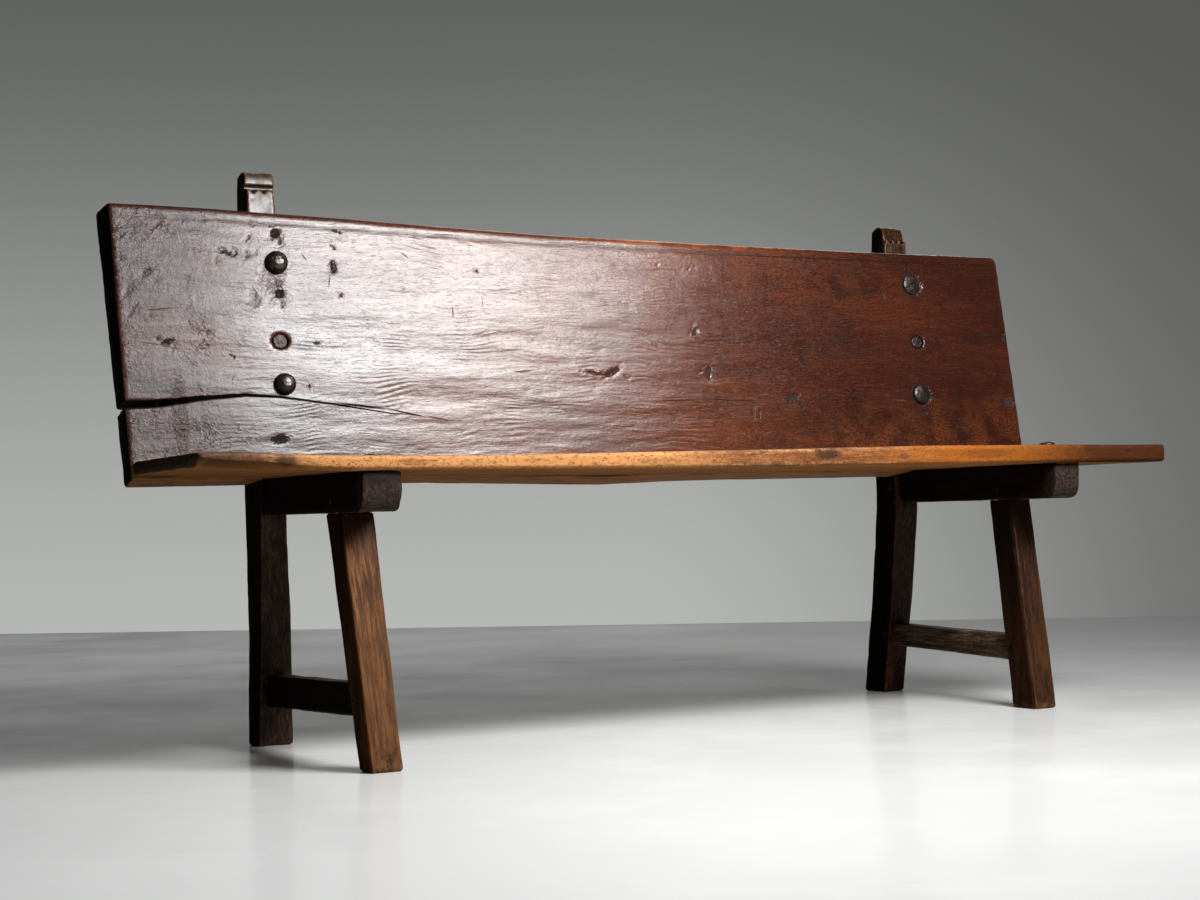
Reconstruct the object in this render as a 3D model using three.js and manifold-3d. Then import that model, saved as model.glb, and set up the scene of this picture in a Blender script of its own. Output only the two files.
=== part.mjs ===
import * as THREE from 'three';
import { mergeVertices } from 'three/addons/utils/BufferGeometryUtils.js';
import Module from 'manifold-3d';

const wasm = await Module();
wasm.setup();

// A rustic monks bench: a plank seat nailed on two pegged trestles, and a leaning back plank
// nailed to the trestles' bent rear posts, which end in carved scrolls above it.
// Millimetres, Z up, front towards -Y, and left is -X. Heights are taken from the floor, and
// distances back from the left end of the seat's front edge.

// Clearances and cuts
const fitGap = 0.3;
const overrun = 8;
const arcSteps = 4;
const arcInset = 1 - Math.SQRT1_2;
const roundSides = 20;
const barSides = 4;

// Seat plank
const seatHeight = 450;
const seatLength = 1750;
const seatDepth = 368;
const seatFrontSkew = 16;
const seatLeftEndSkew = 24;
const seatArris = 5;
const seatEndArris = 4;
const seatCorner = 11;
const seatWave = 6;
const seatLeftEndDrop = 16;
const seatMiddleDrop = 29.5;
const seatRightEndDrop = 31;
const seatBearing = 96;
const seatWaneDepth = 16;
const seatWaneHeight = 8;
// Pairs of a share of the length and a share of the wave, or of the wane
const seatTopShares = [
  [0.04, 0.85], [0.08, 0.1], [0.14, -0.35], [0.22, -0.6], [0.36, -0.45], [0.5, -0.15],
  [0.62, 0.2], [0.72, 0.38], [0.85, 0.25], [0.93, 0],
];
const seatWaneShares = [[0, 1], [0.05, 0.75], [0.1, 0.2], [0.14, 0]];
const skewRunShare = 0.08;
const cornerShares = [0.12, 0.4, 1];

// Back plank, in its own leaning frame: along, through its thickness, and up its slope
const backLean = THREE.MathUtils.degToRad(9.3);
const backThickness = 61;
const backLeftInset = 12;
const backRightOverhang = 5;
const backLeftEnd = backLeftInset - seatLength / 2;
const backRightEnd = backRightOverhang + seatLength / 2;
const backTop = 388.5;
const backTopRise = 24;
const backBottom = 33;
const backBottomRise = 8.5;
const backFrontArris = 9;
const backRearArris = 5;
const backFootArris = 2.5;
const backEndArris = 3.5;
const backCorner = 7;
const backEndLean = 6;
const backEndCut = 7;
const backEndFlare = 3;
const lineBelowTop = 20;
const lineWidth = 4;
const lineDepth = 1.8;
// Pairs of a share of the plank's length and a share of the rise
const backTopShares = [
  [0.04, 1], [0.1, 0.97], [0.16, 0.83], [0.24, 0.66], [0.34, 0.4], [0.44, 0.2], [0.6, 0.06],
  [0.8, 0],
];
const backBottomShares = [
  [0.04, 1], [0.12, 1], [0.3, 0.75], [0.4, 0.1], [0.48, -0.3], [0.56, 0.05], [0.7, 0.2], [0.9, 0],
];

// Notches that sit the back plank over the rails
const notchWidth = 84;
const notchSplay = 30;
const notchDepth = 26;

// Split that runs in from the plank's left end, past the lower nail
const splitHeight = 92;
const splitLength = 440;
const splitWave = 16;
const splitMouth = 8.5;
// Rows of shares: of the split's length, of its wave, and of its mouth
const splitShares = [
  [0, 0, 1], [0.12, 0.12, 0.8], [0.27, 0.6, 0.58], [0.45, 1, 0.4], [0.58, 0.82, 0.3],
  [0.78, 0.1, 0.16], [1, -0.85, 0],
];

// Posts, rails, legs and stretchers
const postArris = 4;
const footArris = 3;
const kneeDrop = 10;
const railArris = 3;
const noseSetback = 12;
const noseFace = 20;
const noseRound = 24;
const legArris = 4;
const stretcherThickness = 30;
const stretcherArris = 3;

// Joints: tenons, and the pegs that hold them
const railTenonThickness = 19;
const railTenonHeight = 36;
const railTenonLength = 40;
const legTenonThickness = 19;
const legTenonWidth = 34;
const legTenonLength = 38;
const legTenonArris = 1;
const stretcherTenonThickness = 13;
const stretcherTenonHeight = 30;
const stretcherTenonLength = 30;
const tenonRoot = 12;
const jointPegRadius = 4.5;
const jointPegProud = 0.8;
const railPegInset = 17;
const legPegRise = 17;
const stretcherPegInset = 14;

// Scrolls above the back plank, in the post's leaning frame
const toothSideShare = 0.44;
const toothBackShare = 0.4;

// Iron nails and wooden pegs
const shankRadius = 4.5;
const shankTipRadius = 2;
const backNailLength = 104;
const headRim = 2.2;
const seatNailRadius = 14;
const seatNailLength = 66;
const seatNailRearInset = 52;
const backPegRadius = 12;
const backPegLength = 98;
const backPegSunk = 1.2;

// The left and right trestles: each is hewn a little differently, and set in from its own end
const leftOverhang = 274;
const rightOverhang = 221.3;
const leftTrestle = {
  name: 'left',
  middle: leftOverhang - seatLength / 2,
  seatDrop: 24,
  railWidth: 63,
  railShift: 1.5,
  railHeight: 57.5,
  frontTop: 103,
  frontTopWidth: 56,
  frontTopDepth: 53.5,
  frontFoot: 28,
  frontFootShift: 6.7,
  frontFootWidth: 51,
  frontFootDepth: 46,
  rearFoot: 478,
  rearFootShift: 4.9,
  rearFootWidth: 61.5,
  rearFootDepth: 43,
  kneeShift: -8.7,
  kneeWidth: 48.5,
  kneeDepth: 67.5,
  stretcherFrontHeight: 99,
  stretcherRearHeight: 89,
  stretcherFrontSize: 48,
  stretcherRearSize: 52,
  topShift: 8.6,
  topWidth: 53,
  scrollDepth: 53,
  scrollRise: 89,
  toothRise: 57,
  toothDepth: 8,
  toothCount: 3,
  toothShift: 4,
  ledge: 9,
  coveRise: 65,
  lipInset: 3,
  lipRise: 72,
  lipNotchCount: 6,
  lipNotchDepth: 4.5,
  crownInset: 17,
  crownDepth: 38,
  crownDrop: 8,
  rollTwist: 0,
  chamfer: 8,
  seatNailDome: 3,
  seatNailShift: 0,
  seatNailFrontInset: 42,
  nails: [
    { shift: 3.8, rise: 319.5, radius: 19.2, dome: 15.5, recess: 0, recessRadius: 0, name: 'upper' },
    { shift: 1.5, rise: 124, radius: 18, dome: 14.5, recess: 0, recessRadius: 0, name: 'lower' },
  ],
  pegShift: 0,
  pegRise: 193,
};
const rightTrestle = {
  name: 'right',
  middle: seatLength / 2 - rightOverhang,
  seatDrop: 30,
  railWidth: 57.5,
  railShift: 0,
  railHeight: 59.3,
  frontTop: 122,
  frontTopWidth: 49,
  frontTopDepth: 55.5,
  frontFoot: 60,
  frontFootShift: -10,
  frontFootWidth: 50.5,
  frontFootDepth: 61,
  rearFoot: 514,
  rearFootShift: 8.6,
  rearFootWidth: 51,
  rearFootDepth: 61,
  kneeShift: -14,
  kneeWidth: 57,
  kneeDepth: 60.5,
  stretcherFrontHeight: 102.5,
  stretcherRearHeight: 111.5,
  stretcherFrontSize: 45,
  stretcherRearSize: 40,
  topShift: 30,
  topWidth: 56,
  scrollDepth: 44,
  scrollRise: 74,
  toothRise: 43.5,
  toothDepth: 9,
  toothCount: 4,
  toothShift: -8,
  ledge: 6,
  coveRise: 46,
  lipInset: 6,
  lipRise: 48,
  lipNotchCount: 0,
  lipNotchDepth: 0,
  crownInset: 24,
  crownDepth: 38,
  crownDrop: 14,
  rollTwist: 9,
  chamfer: 0,
  seatNailDome: 6.5,
  seatNailShift: -10,
  seatNailFrontInset: 50,
  nails: [
    { shift: 9.6, rise: 321, radius: 19.5, dome: 6, recess: 2, recessRadius: 22.5, name: 'upper' },
    { shift: -1.9, rise: 111.5, radius: 19, dome: 8, recess: 2.4, recessRadius: 22, name: 'lower' },
  ],
  pegShift: 6,
  pegRise: 211,
};
const trestles = [leftTrestle, rightTrestle];

// Materials
const seatWood = { color: '#8f5d2b', roughness: 0.45 };
const backWood = { color: '#48241a', roughness: 0.38 };
const trestleWood = { color: '#39251a', roughness: 0.6 };
const pegWood = { color: '#4f3422', roughness: 0.65 };
const forgedIron = { color: '#2b2725', roughness: 0.42, metalness: 0.85 };

function material(look) {
  return new THREE.MeshStandardMaterial(look);
}

function piece(name, solid, look) {
  const mesh = new THREE.Mesh(toGeometry(solid), material(look));
  mesh.name = name;
  return mesh;
}

// Closed geometry to a solid that can be joined and cut
function toSolid(geometry) {
  const bare = geometry.clone();
  bare.deleteAttribute('normal');
  bare.deleteAttribute('uv');
  const merged = mergeVertices(bare);
  const vertProperties = new Float32Array(merged.attributes.position.array);
  const index = Array.from(merged.index.array);
  const kept = [];
  for (let i = 0; i < index.length; i += 3) {
    const corners = index.slice(i, i + 3);
    if (new Set(corners).size === corners.length) {
      kept.push(...corners);
    }
  }
  const triVerts = new Uint32Array(kept);
  return new wasm.Manifold(new wasm.Mesh({ numProp: 3, vertProperties, triVerts }));
}

function toGeometry(solid) {
  const mesh = solid.getMesh();
  const geometry = new THREE.BufferGeometry();
  geometry.setAttribute('position', new THREE.BufferAttribute(mesh.vertProperties, mesh.numProp));
  geometry.setIndex(new THREE.BufferAttribute(mesh.triVerts, 1));
  geometry.computeVertexNormals();
  return geometry;
}

function cutAll(solid, geometries) {
  return geometries.reduce((rest, geometry) => rest.subtract(toSolid(geometry)), solid);
}

// A value read off a table of pairs, held level beyond its ends
function readTable(pairs, at) {
  const next = pairs.findIndex((pair) => pair[0] > at);
  if (next === 0) {
    return pairs[0][1];
  }
  if (next < 0) {
    return pairs[pairs.length - 1][1];
  }
  const [fromAt, fromValue] = pairs[next - 1];
  const [toAt, toValue] = pairs[next];
  return THREE.MathUtils.mapLinear(at, fromAt, toAt, fromValue, toValue);
}

function spread(share, from, to) {
  return from + (to - from) * share;
}

// Loft: rings of as many points each, joined side to side and closed at both ends.
// The flat function lays a ring down in two dimensions, to fill the ends with triangles.
function loft(rings, flat) {
  const count = rings[0].length;
  const triangles = [];
  for (let ring = 0; ring + 1 < rings.length; ring += 1) {
    for (let i = 0; i < count; i += 1) {
      const here = ring * count + i;
      const beside = ring * count + ((i + 1) % count);
      triangles.push([here, beside, beside + count], [here, beside + count, here + count]);
    }
  }
  const last = (rings.length - 1) * count;
  endTriangles(rings[0], flat).forEach(([a, b, c]) => triangles.push([a, c, b]));
  endTriangles(rings.at(-1), flat).forEach(([a, b, c]) => triangles.push([last + a, last + b, last + c]));
  const points = rings.flat();
  const outward = volumeOf(points, triangles) > 0;
  const geometry = new THREE.BufferGeometry().setFromPoints(points);
  geometry.setIndex(triangles.flatMap(([a, b, c]) => (outward ? [a, b, c] : [a, c, b])));
  return geometry;
}

// Triangles that fill a ring and turn the same way as the ring itself
function endTriangles(ring, flat) {
  const outline = ring.map(flat);
  const ringTurn = Math.sign(THREE.ShapeUtils.area(outline));
  return THREE.ShapeUtils.triangulateShape(outline, []).map(([a, b, c]) => {
    const turn = Math.sign(THREE.ShapeUtils.area([outline[a], outline[b], outline[c]]));
    return turn === ringTurn ? [a, b, c] : [a, c, b];
  });
}

function volumeOf(points, triangles) {
  return triangles.reduce((sum, [a, b, c]) => {
    const cross = new THREE.Vector3().crossVectors(points[b], points[c]);
    return sum + points[a].dot(cross);
  }, 0);
}

const acrossX = (point) => new THREE.Vector2(point.y, point.z);
const acrossY = (point) => new THREE.Vector2(point.x, point.z);
const acrossZ = (point) => new THREE.Vector2(point.x, point.y);

// A ring drawn in by one size on every side, for the worn edges at a timber's end.
// Its points keep their places along the timber.
function drawIn(ring, inset, along) {
  const box = new THREE.Box3().setFromPoints(ring);
  const middle = box.getCenter(new THREE.Vector3());
  const size = box.getSize(new THREE.Vector3());
  const shrink = (value, centre, width) => {
    const scale = width > 2 * inset ? 1 - (2 * inset) / width : 1;
    return centre + (value - centre) * scale;
  };
  return ring.map((point) => {
    const drawn = new THREE.Vector3(
      shrink(point.x, middle.x, size.x),
      shrink(point.y, middle.y, size.y),
      shrink(point.z, middle.z, size.z),
    );
    drawn[along] = point[along];
    return drawn;
  });
}

// Corners of a rectangle between two spans, each corner taken off by the arris
function hewnCorners([left, right], [low, high], arris) {
  return [
    [left + arris, low], [right - arris, low], [right, low + arris], [right, high - arris],
    [right - arris, high], [left + arris, high], [left, high - arris], [left, low + arris],
  ];
}

function around(centre, size) {
  return [centre - size / 2, centre + size / 2];
}

function block([x0, x1], [y0, y1], [z0, z1]) {
  const geometry = new THREE.BoxGeometry(x1 - x0, y1 - y0, z1 - z0);
  return geometry.translate((x0 + x1) / 2, (y0 + y1) / 2, (z0 + z1) / 2);
}

// A round pin along X, centred where it is told
function crossPin(radius, length, { x, y, z }) {
  const geometry = new THREE.CylinderGeometry(radius, radius, length, roundSides);
  return geometry.rotateZ(Math.PI / 2).translate(x, y, z);
}

// A side outline, drawn back and up, swept across the bench
function sweepAcross(shape, width, bevel) {
  const depth = width - 2 * bevel;
  const geometry = new THREE.ExtrudeGeometry(shape, {
    depth,
    steps: 1,
    curveSegments: 2 * arcSteps,
    bevelEnabled: bevel > 0,
    bevelThickness: bevel,
    bevelSize: bevel,
    bevelOffset: -bevel,
    bevelSegments: 1,
  });
  geometry.translate(0, 0, -depth / 2);
  const back = new THREE.Vector3(0, 1, 0);
  const up = new THREE.Vector3(0, 0, 1);
  const across = new THREE.Vector3(1, 0, 0);
  return geometry.applyMatrix4(new THREE.Matrix4().makeBasis(back, up, across));
}

// A front outline, drawn along and up, swept back from one depth to another
function sweepBack(shape, from, to) {
  const geometry = new THREE.ExtrudeGeometry(shape, { depth: to - from, steps: 1, bevelEnabled: false });
  return geometry.rotateX(Math.PI / 2).translate(0, to, 0);
}

// The leaning frame: it turns about the line where the back's face meets the seat's top
function leaningFrame() {
  const frame = new THREE.Group();
  frame.position.set(0, seatDepth, seatHeight);
  frame.rotation.x = -backLean;
  frame.updateMatrix();
  return frame;
}

const toBench = leaningFrame().matrix;
const toBack = toBench.clone().invert();

// How far back the plank's face and its rear lie at a height from the floor
function backFaceAt(height) {
  return seatDepth + (height - seatHeight) * Math.tan(backLean);
}

function backRearAt(height) {
  return backFaceAt(height) + backThickness / Math.cos(backLean);
}

// A height above the seat, on the plank's face, as a place up its slope
function upSlope(rise) {
  return rise / Math.cos(backLean);
}

// Sizes that follow from a trestle's own and from the seat's
function railTopOf(side) {
  return seatHeight - side.seatDrop;
}

function railBottomOf(side) {
  return railTopOf(side) - side.railHeight;
}

function railMiddleOf(side) {
  return railTopOf(side) - side.railHeight / 2;
}

function kneeOf(side) {
  return railBottomOf(side) - kneeDrop;
}

function postFaceOf(side) {
  return backRearAt(railTopOf(side)) + fitGap / Math.cos(backLean);
}

// Seat plank: lofted along its length, flat where it bears on the rails
function seatFrontAt(x) {
  return -seatFrontSkew * (x / seatLength + 1 / 2);
}

function seatTopAt(x) {
  return seatHeight + seatWave * readTable(seatTopShares, x / seatLength + 1 / 2);
}

function seatUndersideAt(x) {
  const bearings = trestles.map((side) => {
    const height = railTopOf(side) + fitGap;
    return around(side.middle, seatBearing).map((edge) => [edge, height]);
  });
  const middle = (leftTrestle.middle + rightTrestle.middle) / 2;
  const pairs = [
    [-seatLength / 2, seatHeight - seatLeftEndDrop],
    ...bearings[0],
    [middle, seatHeight - seatMiddleDrop],
    ...bearings[1],
    [seatLength / 2, seatHeight - seatRightEndDrop],
  ];
  return readTable(pairs, x);
}

// How far a rounded corner has drawn an edge in, at a distance from the end
function cornerInset(radius, fromEnd) {
  return fromEnd < radius ? radius - Math.sqrt(radius ** 2 - (radius - fromEnd) ** 2) : 0;
}

function seatRing(x) {
  const share = x / seatLength + 1 / 2;
  const fromEnd = Math.max(0, seatLength / 2 - Math.abs(x) - seatEndArris);
  const front = seatFrontAt(x) + cornerInset(seatCorner, fromEnd);
  const top = seatTopAt(x);
  const under = seatUndersideAt(x);
  const wane = readTable(seatWaneShares, share);
  const section = [
    [front + seatArris + wane * seatWaneDepth, under],
    [front, under + seatArris + wane * seatWaneHeight],
    [front, top - seatArris],
    [front + seatArris * arcInset, top - seatArris * arcInset],
    [front + seatArris, top],
    [backFaceAt(top) - fitGap, top],
    [backFaceAt(under) - fitGap, under],
  ];
  const skew = seatLeftEndSkew * Math.max(0, 1 - share / skewRunShare);
  return section.map(([y, z]) => new THREE.Vector3(x + skew * (y / seatDepth), y, z));
}

function placesOf(pairs, start, end) {
  return [...new Set(pairs.map(([share]) => spread(share, start, end)))];
}

// Places along a plank: its ends, its rounded corners and the places its tables name
function stations(start, end, arris, corner, places) {
  const fromEnd = [arris, ...cornerShares.map((share) => arris + corner * share)];
  const nearEnds = fromEnd.flatMap((distance) => [start + distance, end - distance]);
  const between = places.filter((x) => x > start + arris + corner && x < end - arris - corner);
  return [...nearEnds, ...between].sort((a, b) => a - b);
}

function seatPlank() {
  const [start, end] = around(0, seatLength);
  const bearings = trestles.flatMap((side) => around(side.middle, seatBearing));
  const places = [...placesOf([...seatTopShares, ...seatWaneShares], start, end), ...bearings];
  const rings = stations(start, end, seatEndArris, seatCorner, places).map(seatRing);
  rings.unshift(drawIn(seatRing(start), seatEndArris, 'x'));
  rings.push(drawIn(seatRing(end), seatEndArris, 'x'));
  const holes = trestles.flatMap((side) => seatNailPlaces(side).map(({ y }) => {
    return seatNailHole(side, y).translate(side.middle, 0, 0);
  }));
  return piece('seat_plank', cutAll(toSolid(loft(rings, acrossX)), holes), seatWood);
}

// Back plank: lofted along its length in the leaning frame, then notched, split and bored
function backShareAt(x) {
  return (x - backLeftEnd) / (backRightEnd - backLeftEnd);
}

function backTopAt(x) {
  const fromEnd = Math.max(0, backRightEnd - x - backEndArris);
  return backTop + backTopRise * readTable(backTopShares, backShareAt(x)) - cornerInset(backCorner, fromEnd);
}

function backBottomAt(x) {
  return -backBottom + backBottomRise * readTable(backBottomShares, backShareAt(x));
}

function backRing(x) {
  const top = backTopAt(x);
  const bottom = backBottomAt(x);
  const line = top - lineBelowTop;
  const section = [
    [0, bottom + backFootArris],
    [0, line - lineWidth / 2],
    [lineDepth, line],
    [0, line + lineWidth / 2],
    [0, top - backFrontArris],
    [backFrontArris * arcInset, top - backFrontArris * arcInset],
    [backFrontArris, top],
    [backThickness - backRearArris, top],
    [backThickness, top - backRearArris],
    [backThickness, bottom + backFootArris],
    [backThickness - backFootArris, bottom],
    [backFootArris, bottom],
  ];
  const fade = Math.max(0, 1 - backShareAt(x) / skewRunShare);
  return section.map(([through, up]) => {
    const drop = (top - up) / (top - bottom);
    const depthShare = through / backThickness;
    const rear = spread(drop, -backEndFlare, backEndCut);
    return new THREE.Vector3(x + fade * (drop * backEndLean + depthShare * rear), through, up);
  });
}

// The open split, drawn on the plank's face: its two lips run together at its far end
function splitCut() {
  const lip = (side) => splitShares.map(([along, wave, mouth]) => new THREE.Vector2(
    backLeftEnd + splitLength * along,
    splitHeight + splitWave * wave + side * (splitMouth / 2) * mouth,
  ));
  const upper = lip(1);
  const lower = lip(-1);
  lower.pop();
  const mouthX = backLeftEnd - overrun;
  const start = [new THREE.Vector2(mouthX, lower[0].y), new THREE.Vector2(mouthX, upper[0].y)];
  const shape = new THREE.Shape([...start, ...upper, ...lower.reverse()]);
  return sweepBack(shape, -overrun, backThickness + overrun);
}

// The notch that lets the plank down over a rail, with sloping cheeks
function railNotch(side) {
  const [left, right] = around(side.middle, notchWidth);
  const ceiling = railTopOf(side) + fitGap;
  const shape = new THREE.Shape([
    new THREE.Vector2(left, ceiling),
    new THREE.Vector2(right, ceiling),
    new THREE.Vector2(right + notchSplay, ceiling - notchDepth),
    new THREE.Vector2(left - notchSplay, ceiling - notchDepth),
  ]);
  const face = backFaceAt(ceiling - notchDepth);
  return sweepBack(shape, face - backThickness, face + 2 * backThickness).applyMatrix4(toBack);
}

// A pin through the plank, square to its face, in the leaning frame.
// Its rise is a height above the seat.
function backPin(radius, from, to, x, rise) {
  const geometry = new THREE.CylinderGeometry(radius, radius, to - from, roundSides);
  return geometry.translate(x, (from + to) / 2, upSlope(rise));
}

function backNailHole(side, nail) {
  const x = side.middle + nail.shift;
  return backPin(shankRadius + fitGap, -overrun, backNailLength + overrun, x, nail.rise);
}

function backPegHole(side) {
  const x = side.middle + side.pegShift;
  return backPin(backPegRadius + fitGap, -overrun, backPegLength + fitGap, x, side.pegRise);
}

function backPlank() {
  const places = placesOf([...backTopShares, ...backBottomShares], backLeftEnd, backRightEnd);
  const rings = stations(backLeftEnd, backRightEnd, backEndArris, backCorner, places).map(backRing);
  rings.unshift(drawIn(backRing(backLeftEnd), backEndArris, 'x'));
  rings.push(drawIn(backRing(backRightEnd), backEndArris, 'x'));
  const cuts = [splitCut()];
  for (const side of trestles) {
    cuts.push(railNotch(side), backPegHole(side));
    for (const nail of side.nails) {
      cuts.push(backNailHole(side, nail));
      if (nail.recess > 0) {
        const x = side.middle + nail.shift;
        cuts.push(backPin(nail.recessRadius, -overrun, nail.recess, x, nail.rise));
      }
    }
  }
  return piece('back_plank', cutAll(toSolid(loft(rings, acrossX)), cuts), backWood);
}

// Forged nail: a domed head and a tapering shank, standing on its point along Y
function nail(radius, dome, length) {
  const profile = [
    new THREE.Vector2(0, -length),
    new THREE.Vector2(shankTipRadius, -length),
    new THREE.Vector2(shankRadius, -length / 2),
    new THREE.Vector2(shankRadius, 0),
    new THREE.Vector2(radius, 0),
    new THREE.Vector2(radius, headRim),
  ];
  for (let step = 1; step < arcSteps; step += 1) {
    const angle = (Math.PI / 2) * (step / arcSteps);
    profile.push(new THREE.Vector2(radius * Math.cos(angle), headRim + (dome - headRim) * Math.sin(angle)));
  }
  profile.push(new THREE.Vector2(0, dome));
  return new THREE.LatheGeometry(profile, roundSides);
}

function backNail(side, size) {
  const geometry = nail(size.radius, size.dome, backNailLength).rotateX(Math.PI);
  const mesh = piece(`${side.name}_back_nail_${size.name}`, toSolid(geometry), forgedIron);
  mesh.position.set(side.middle + size.shift, size.recess - fitGap, upSlope(size.rise));
  return mesh;
}

function backPeg(side) {
  const x = side.middle + side.pegShift;
  const geometry = backPin(backPegRadius, backPegSunk, backPegLength, x, side.pegRise);
  return piece(`${side.name}_back_peg`, toSolid(geometry), pegWood);
}

function seatNailPlaces(side) {
  const front = { name: 'front', y: seatFrontAt(side.middle) + side.seatNailFrontInset };
  const rear = { name: 'rear', y: seatDepth - seatNailRearInset };
  return [front, rear];
}

// Where the seat's top lies under a trestle's nails
function seatNailSeatOf(side) {
  return seatTopAt(side.middle + side.seatNailShift);
}

// The hole for a seat nail, placed from the middle of its trestle
function seatNailHole(side, y) {
  const length = seatNailLength + 2 * overrun;
  const middle = seatNailSeatOf(side) + overrun - length / 2;
  const geometry = new THREE.CylinderGeometry(shankRadius + fitGap, shankRadius + fitGap, length, roundSides);
  return geometry.rotateX(Math.PI / 2).translate(side.seatNailShift, y, middle);
}

function seatNail(side, place) {
  const geometry = nail(seatNailRadius, side.seatNailDome, seatNailLength).rotateX(Math.PI / 2);
  const mesh = piece(`${side.name}_seat_nail_${place.name}`, toSolid(geometry), forgedIron);
  mesh.position.set(side.middle + side.seatNailShift, place.y, seatNailSeatOf(side) + fitGap);
  return mesh;
}

// Post: raked below the rail, upright behind it, and leaning with the back plank above it
function postFrontAt(side, height) {
  if (height > railTopOf(side)) {
    return backRearAt(height) + fitGap / Math.cos(backLean);
  }
  return spread(kneeShareAt(side, height), side.rearFoot, postFaceOf(side));
}

function scrollBase(side) {
  const up = backTopAt(side.middle);
  const height = seatHeight + up * Math.cos(backLean) - backThickness * Math.sin(backLean);
  return { height, front: postFrontAt(side, height) };
}

function postTopOf(side) {
  return scrollBase(side).height + side.scrollRise + overrun;
}

// A post bows sideways up to its knee, and leans off sideways from the rail's top
function postShiftAt(side, height) {
  const bowShare = kneeShareAt(side, height);
  const bow = spread((bowShare * (1 + bowShare)) / 2, side.rearFootShift, side.kneeShift);
  const leanShare = Math.max(0, height - railTopOf(side)) / (scrollBase(side).height - railTopOf(side));
  return bow + leanShare * (side.topShift - side.kneeShift);
}

function kneeShareAt(side, height) {
  return Math.min(1, height / kneeOf(side));
}

function postWidthAt(side, height) {
  const low = spread(kneeShareAt(side, height), side.rearFootWidth, side.kneeWidth);
  const share = Math.max(0, height - railTopOf(side)) / (postTopOf(side) - railTopOf(side));
  return spread(share, low, side.topWidth);
}

function postDepthAt(side, height) {
  const base = scrollBase(side).height;
  if (height > base) {
    const share = (height - base) / (postTopOf(side) - base);
    return spread(share, side.scrollDepth, side.crownDepth) / Math.cos(backLean);
  }
  const low = spread(kneeShareAt(side, height), side.rearFootDepth, side.kneeDepth);
  const share = Math.max(0, height - railTopOf(side)) / (base - railTopOf(side));
  return spread(share, low, side.scrollDepth / Math.cos(backLean));
}

function postRing(side, height) {
  const front = postFrontAt(side, height);
  const sides = around(postShiftAt(side, height), postWidthAt(side, height));
  const corners = hewnCorners(sides, [front, front + postDepthAt(side, height)], postArris);
  return corners.map(([x, y]) => new THREE.Vector3(x, y, height));
}

function postBlank(side) {
  const knee = kneeOf(side);
  const heights = [footArris, knee / 2, knee, railTopOf(side), scrollBase(side).height, postTopOf(side)];
  const rings = heights.map((height) => postRing(side, height));
  rings.unshift(drawIn(postRing(side, 0), footArris, 'z'));
  return toSolid(loft(rings, acrossZ));
}

// The middle of a scroll's top, sideways from the middle of its trestle
function crownShiftOf(side) {
  return postShiftAt(side, scrollBase(side).height + side.scrollRise);
}

// Side outline of what is kept above the plank: a toothed ledge, a cove and a rolled-over top.
// The setback is how much deeper the roll's front is cut there than at its middle.
function scrollOutline(side, setback) {
  const ledge = side.ledge + setback;
  const lip = side.lipInset + setback;
  const crown = side.crownInset + setback;
  const rear = side.scrollDepth + overrun;
  const shape = new THREE.Shape();
  shape.moveTo(-overrun, -overrun);
  shape.lineTo(-overrun, side.toothRise);
  shape.lineTo(ledge, side.toothRise);
  shape.quadraticCurveTo(ledge + side.ledge / 2, side.coveRise, lip, side.coveRise);
  shape.lineTo(lip, side.lipRise);
  shape.quadraticCurveTo(lip, side.scrollRise, crown, side.scrollRise);
  shape.quadraticCurveTo(side.crownDepth, side.scrollRise, rear, side.scrollRise - 2 * side.crownDrop);
  shape.lineTo(rear, -overrun);
  return shape;
}

// The kept outline swept across the post, with a twist from its left to its right
function scrollSweep(side) {
  const rings = [-1, 1].map((end) => {
    const x = crownShiftOf(side) + end * side.topWidth;
    const outline = scrollOutline(side, end * side.rollTwist).getPoints(2 * arcSteps);
    return outline.map((point) => new THREE.Vector3(x, point.x, point.y));
  });
  return loft(rings, acrossX);
}

// A row of chip cuts, each a V that runs out towards its back
function chipCuts(side, { count, shift, edge, depth, reach }) {
  const pitch = side.topWidth / count;
  const half = pitch * toothSideShare;
  const start = crownShiftOf(side) + shift - side.topWidth / 2;
  return Array.from({ length: count }, (_, i) => {
    const x = start + (i + 1 / 2) * pitch;
    const ring = (y, low) => [
      new THREE.Vector3(x - half, y, edge),
      new THREE.Vector3(x + half, y, edge),
      new THREE.Vector3(x, y, edge - low),
    ];
    return loft([ring(-overrun, depth), ring(0, depth), ring(reach, depth * toothBackShare)], acrossY);
  });
}

function toothCuts(side) {
  return chipCuts(side, {
    count: side.toothCount,
    shift: side.toothShift,
    edge: side.toothRise + fitGap,
    depth: side.toothDepth,
    reach: side.ledge + side.rollTwist,
  });
}

function lipCuts(side) {
  return chipCuts(side, {
    count: side.lipNotchCount,
    shift: 0,
    edge: side.lipRise,
    depth: side.lipNotchDepth,
    reach: side.crownInset,
  });
}

function carveScroll(side, blank) {
  const base = scrollBase(side);
  const place = (geometry) => geometry.rotateX(-backLean).translate(0, base.front, base.height);
  const space = block(
    around(crownShiftOf(side), side.topWidth + 4 * overrun),
    [-2 * overrun, side.scrollDepth + 3 * overrun],
    [0, side.scrollRise + 4 * overrun],
  );
  const waste = toSolid(place(space)).subtract(toSolid(place(scrollSweep(side))));
  const cuts = toothCuts(side);
  if (side.lipNotchCount > 0) {
    cuts.push(...lipCuts(side));
  }
  if (side.chamfer > 0) {
    const edge = crownShiftOf(side) + side.topWidth / 2;
    const bar = new THREE.CylinderGeometry(side.chamfer, side.chamfer, 2 * side.scrollRise, barSides);
    cuts.push(bar.rotateX(Math.PI / 2).translate(edge, 0, side.scrollRise));
  }
  return cutAll(blank.subtract(waste), cuts.map(place));
}

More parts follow.
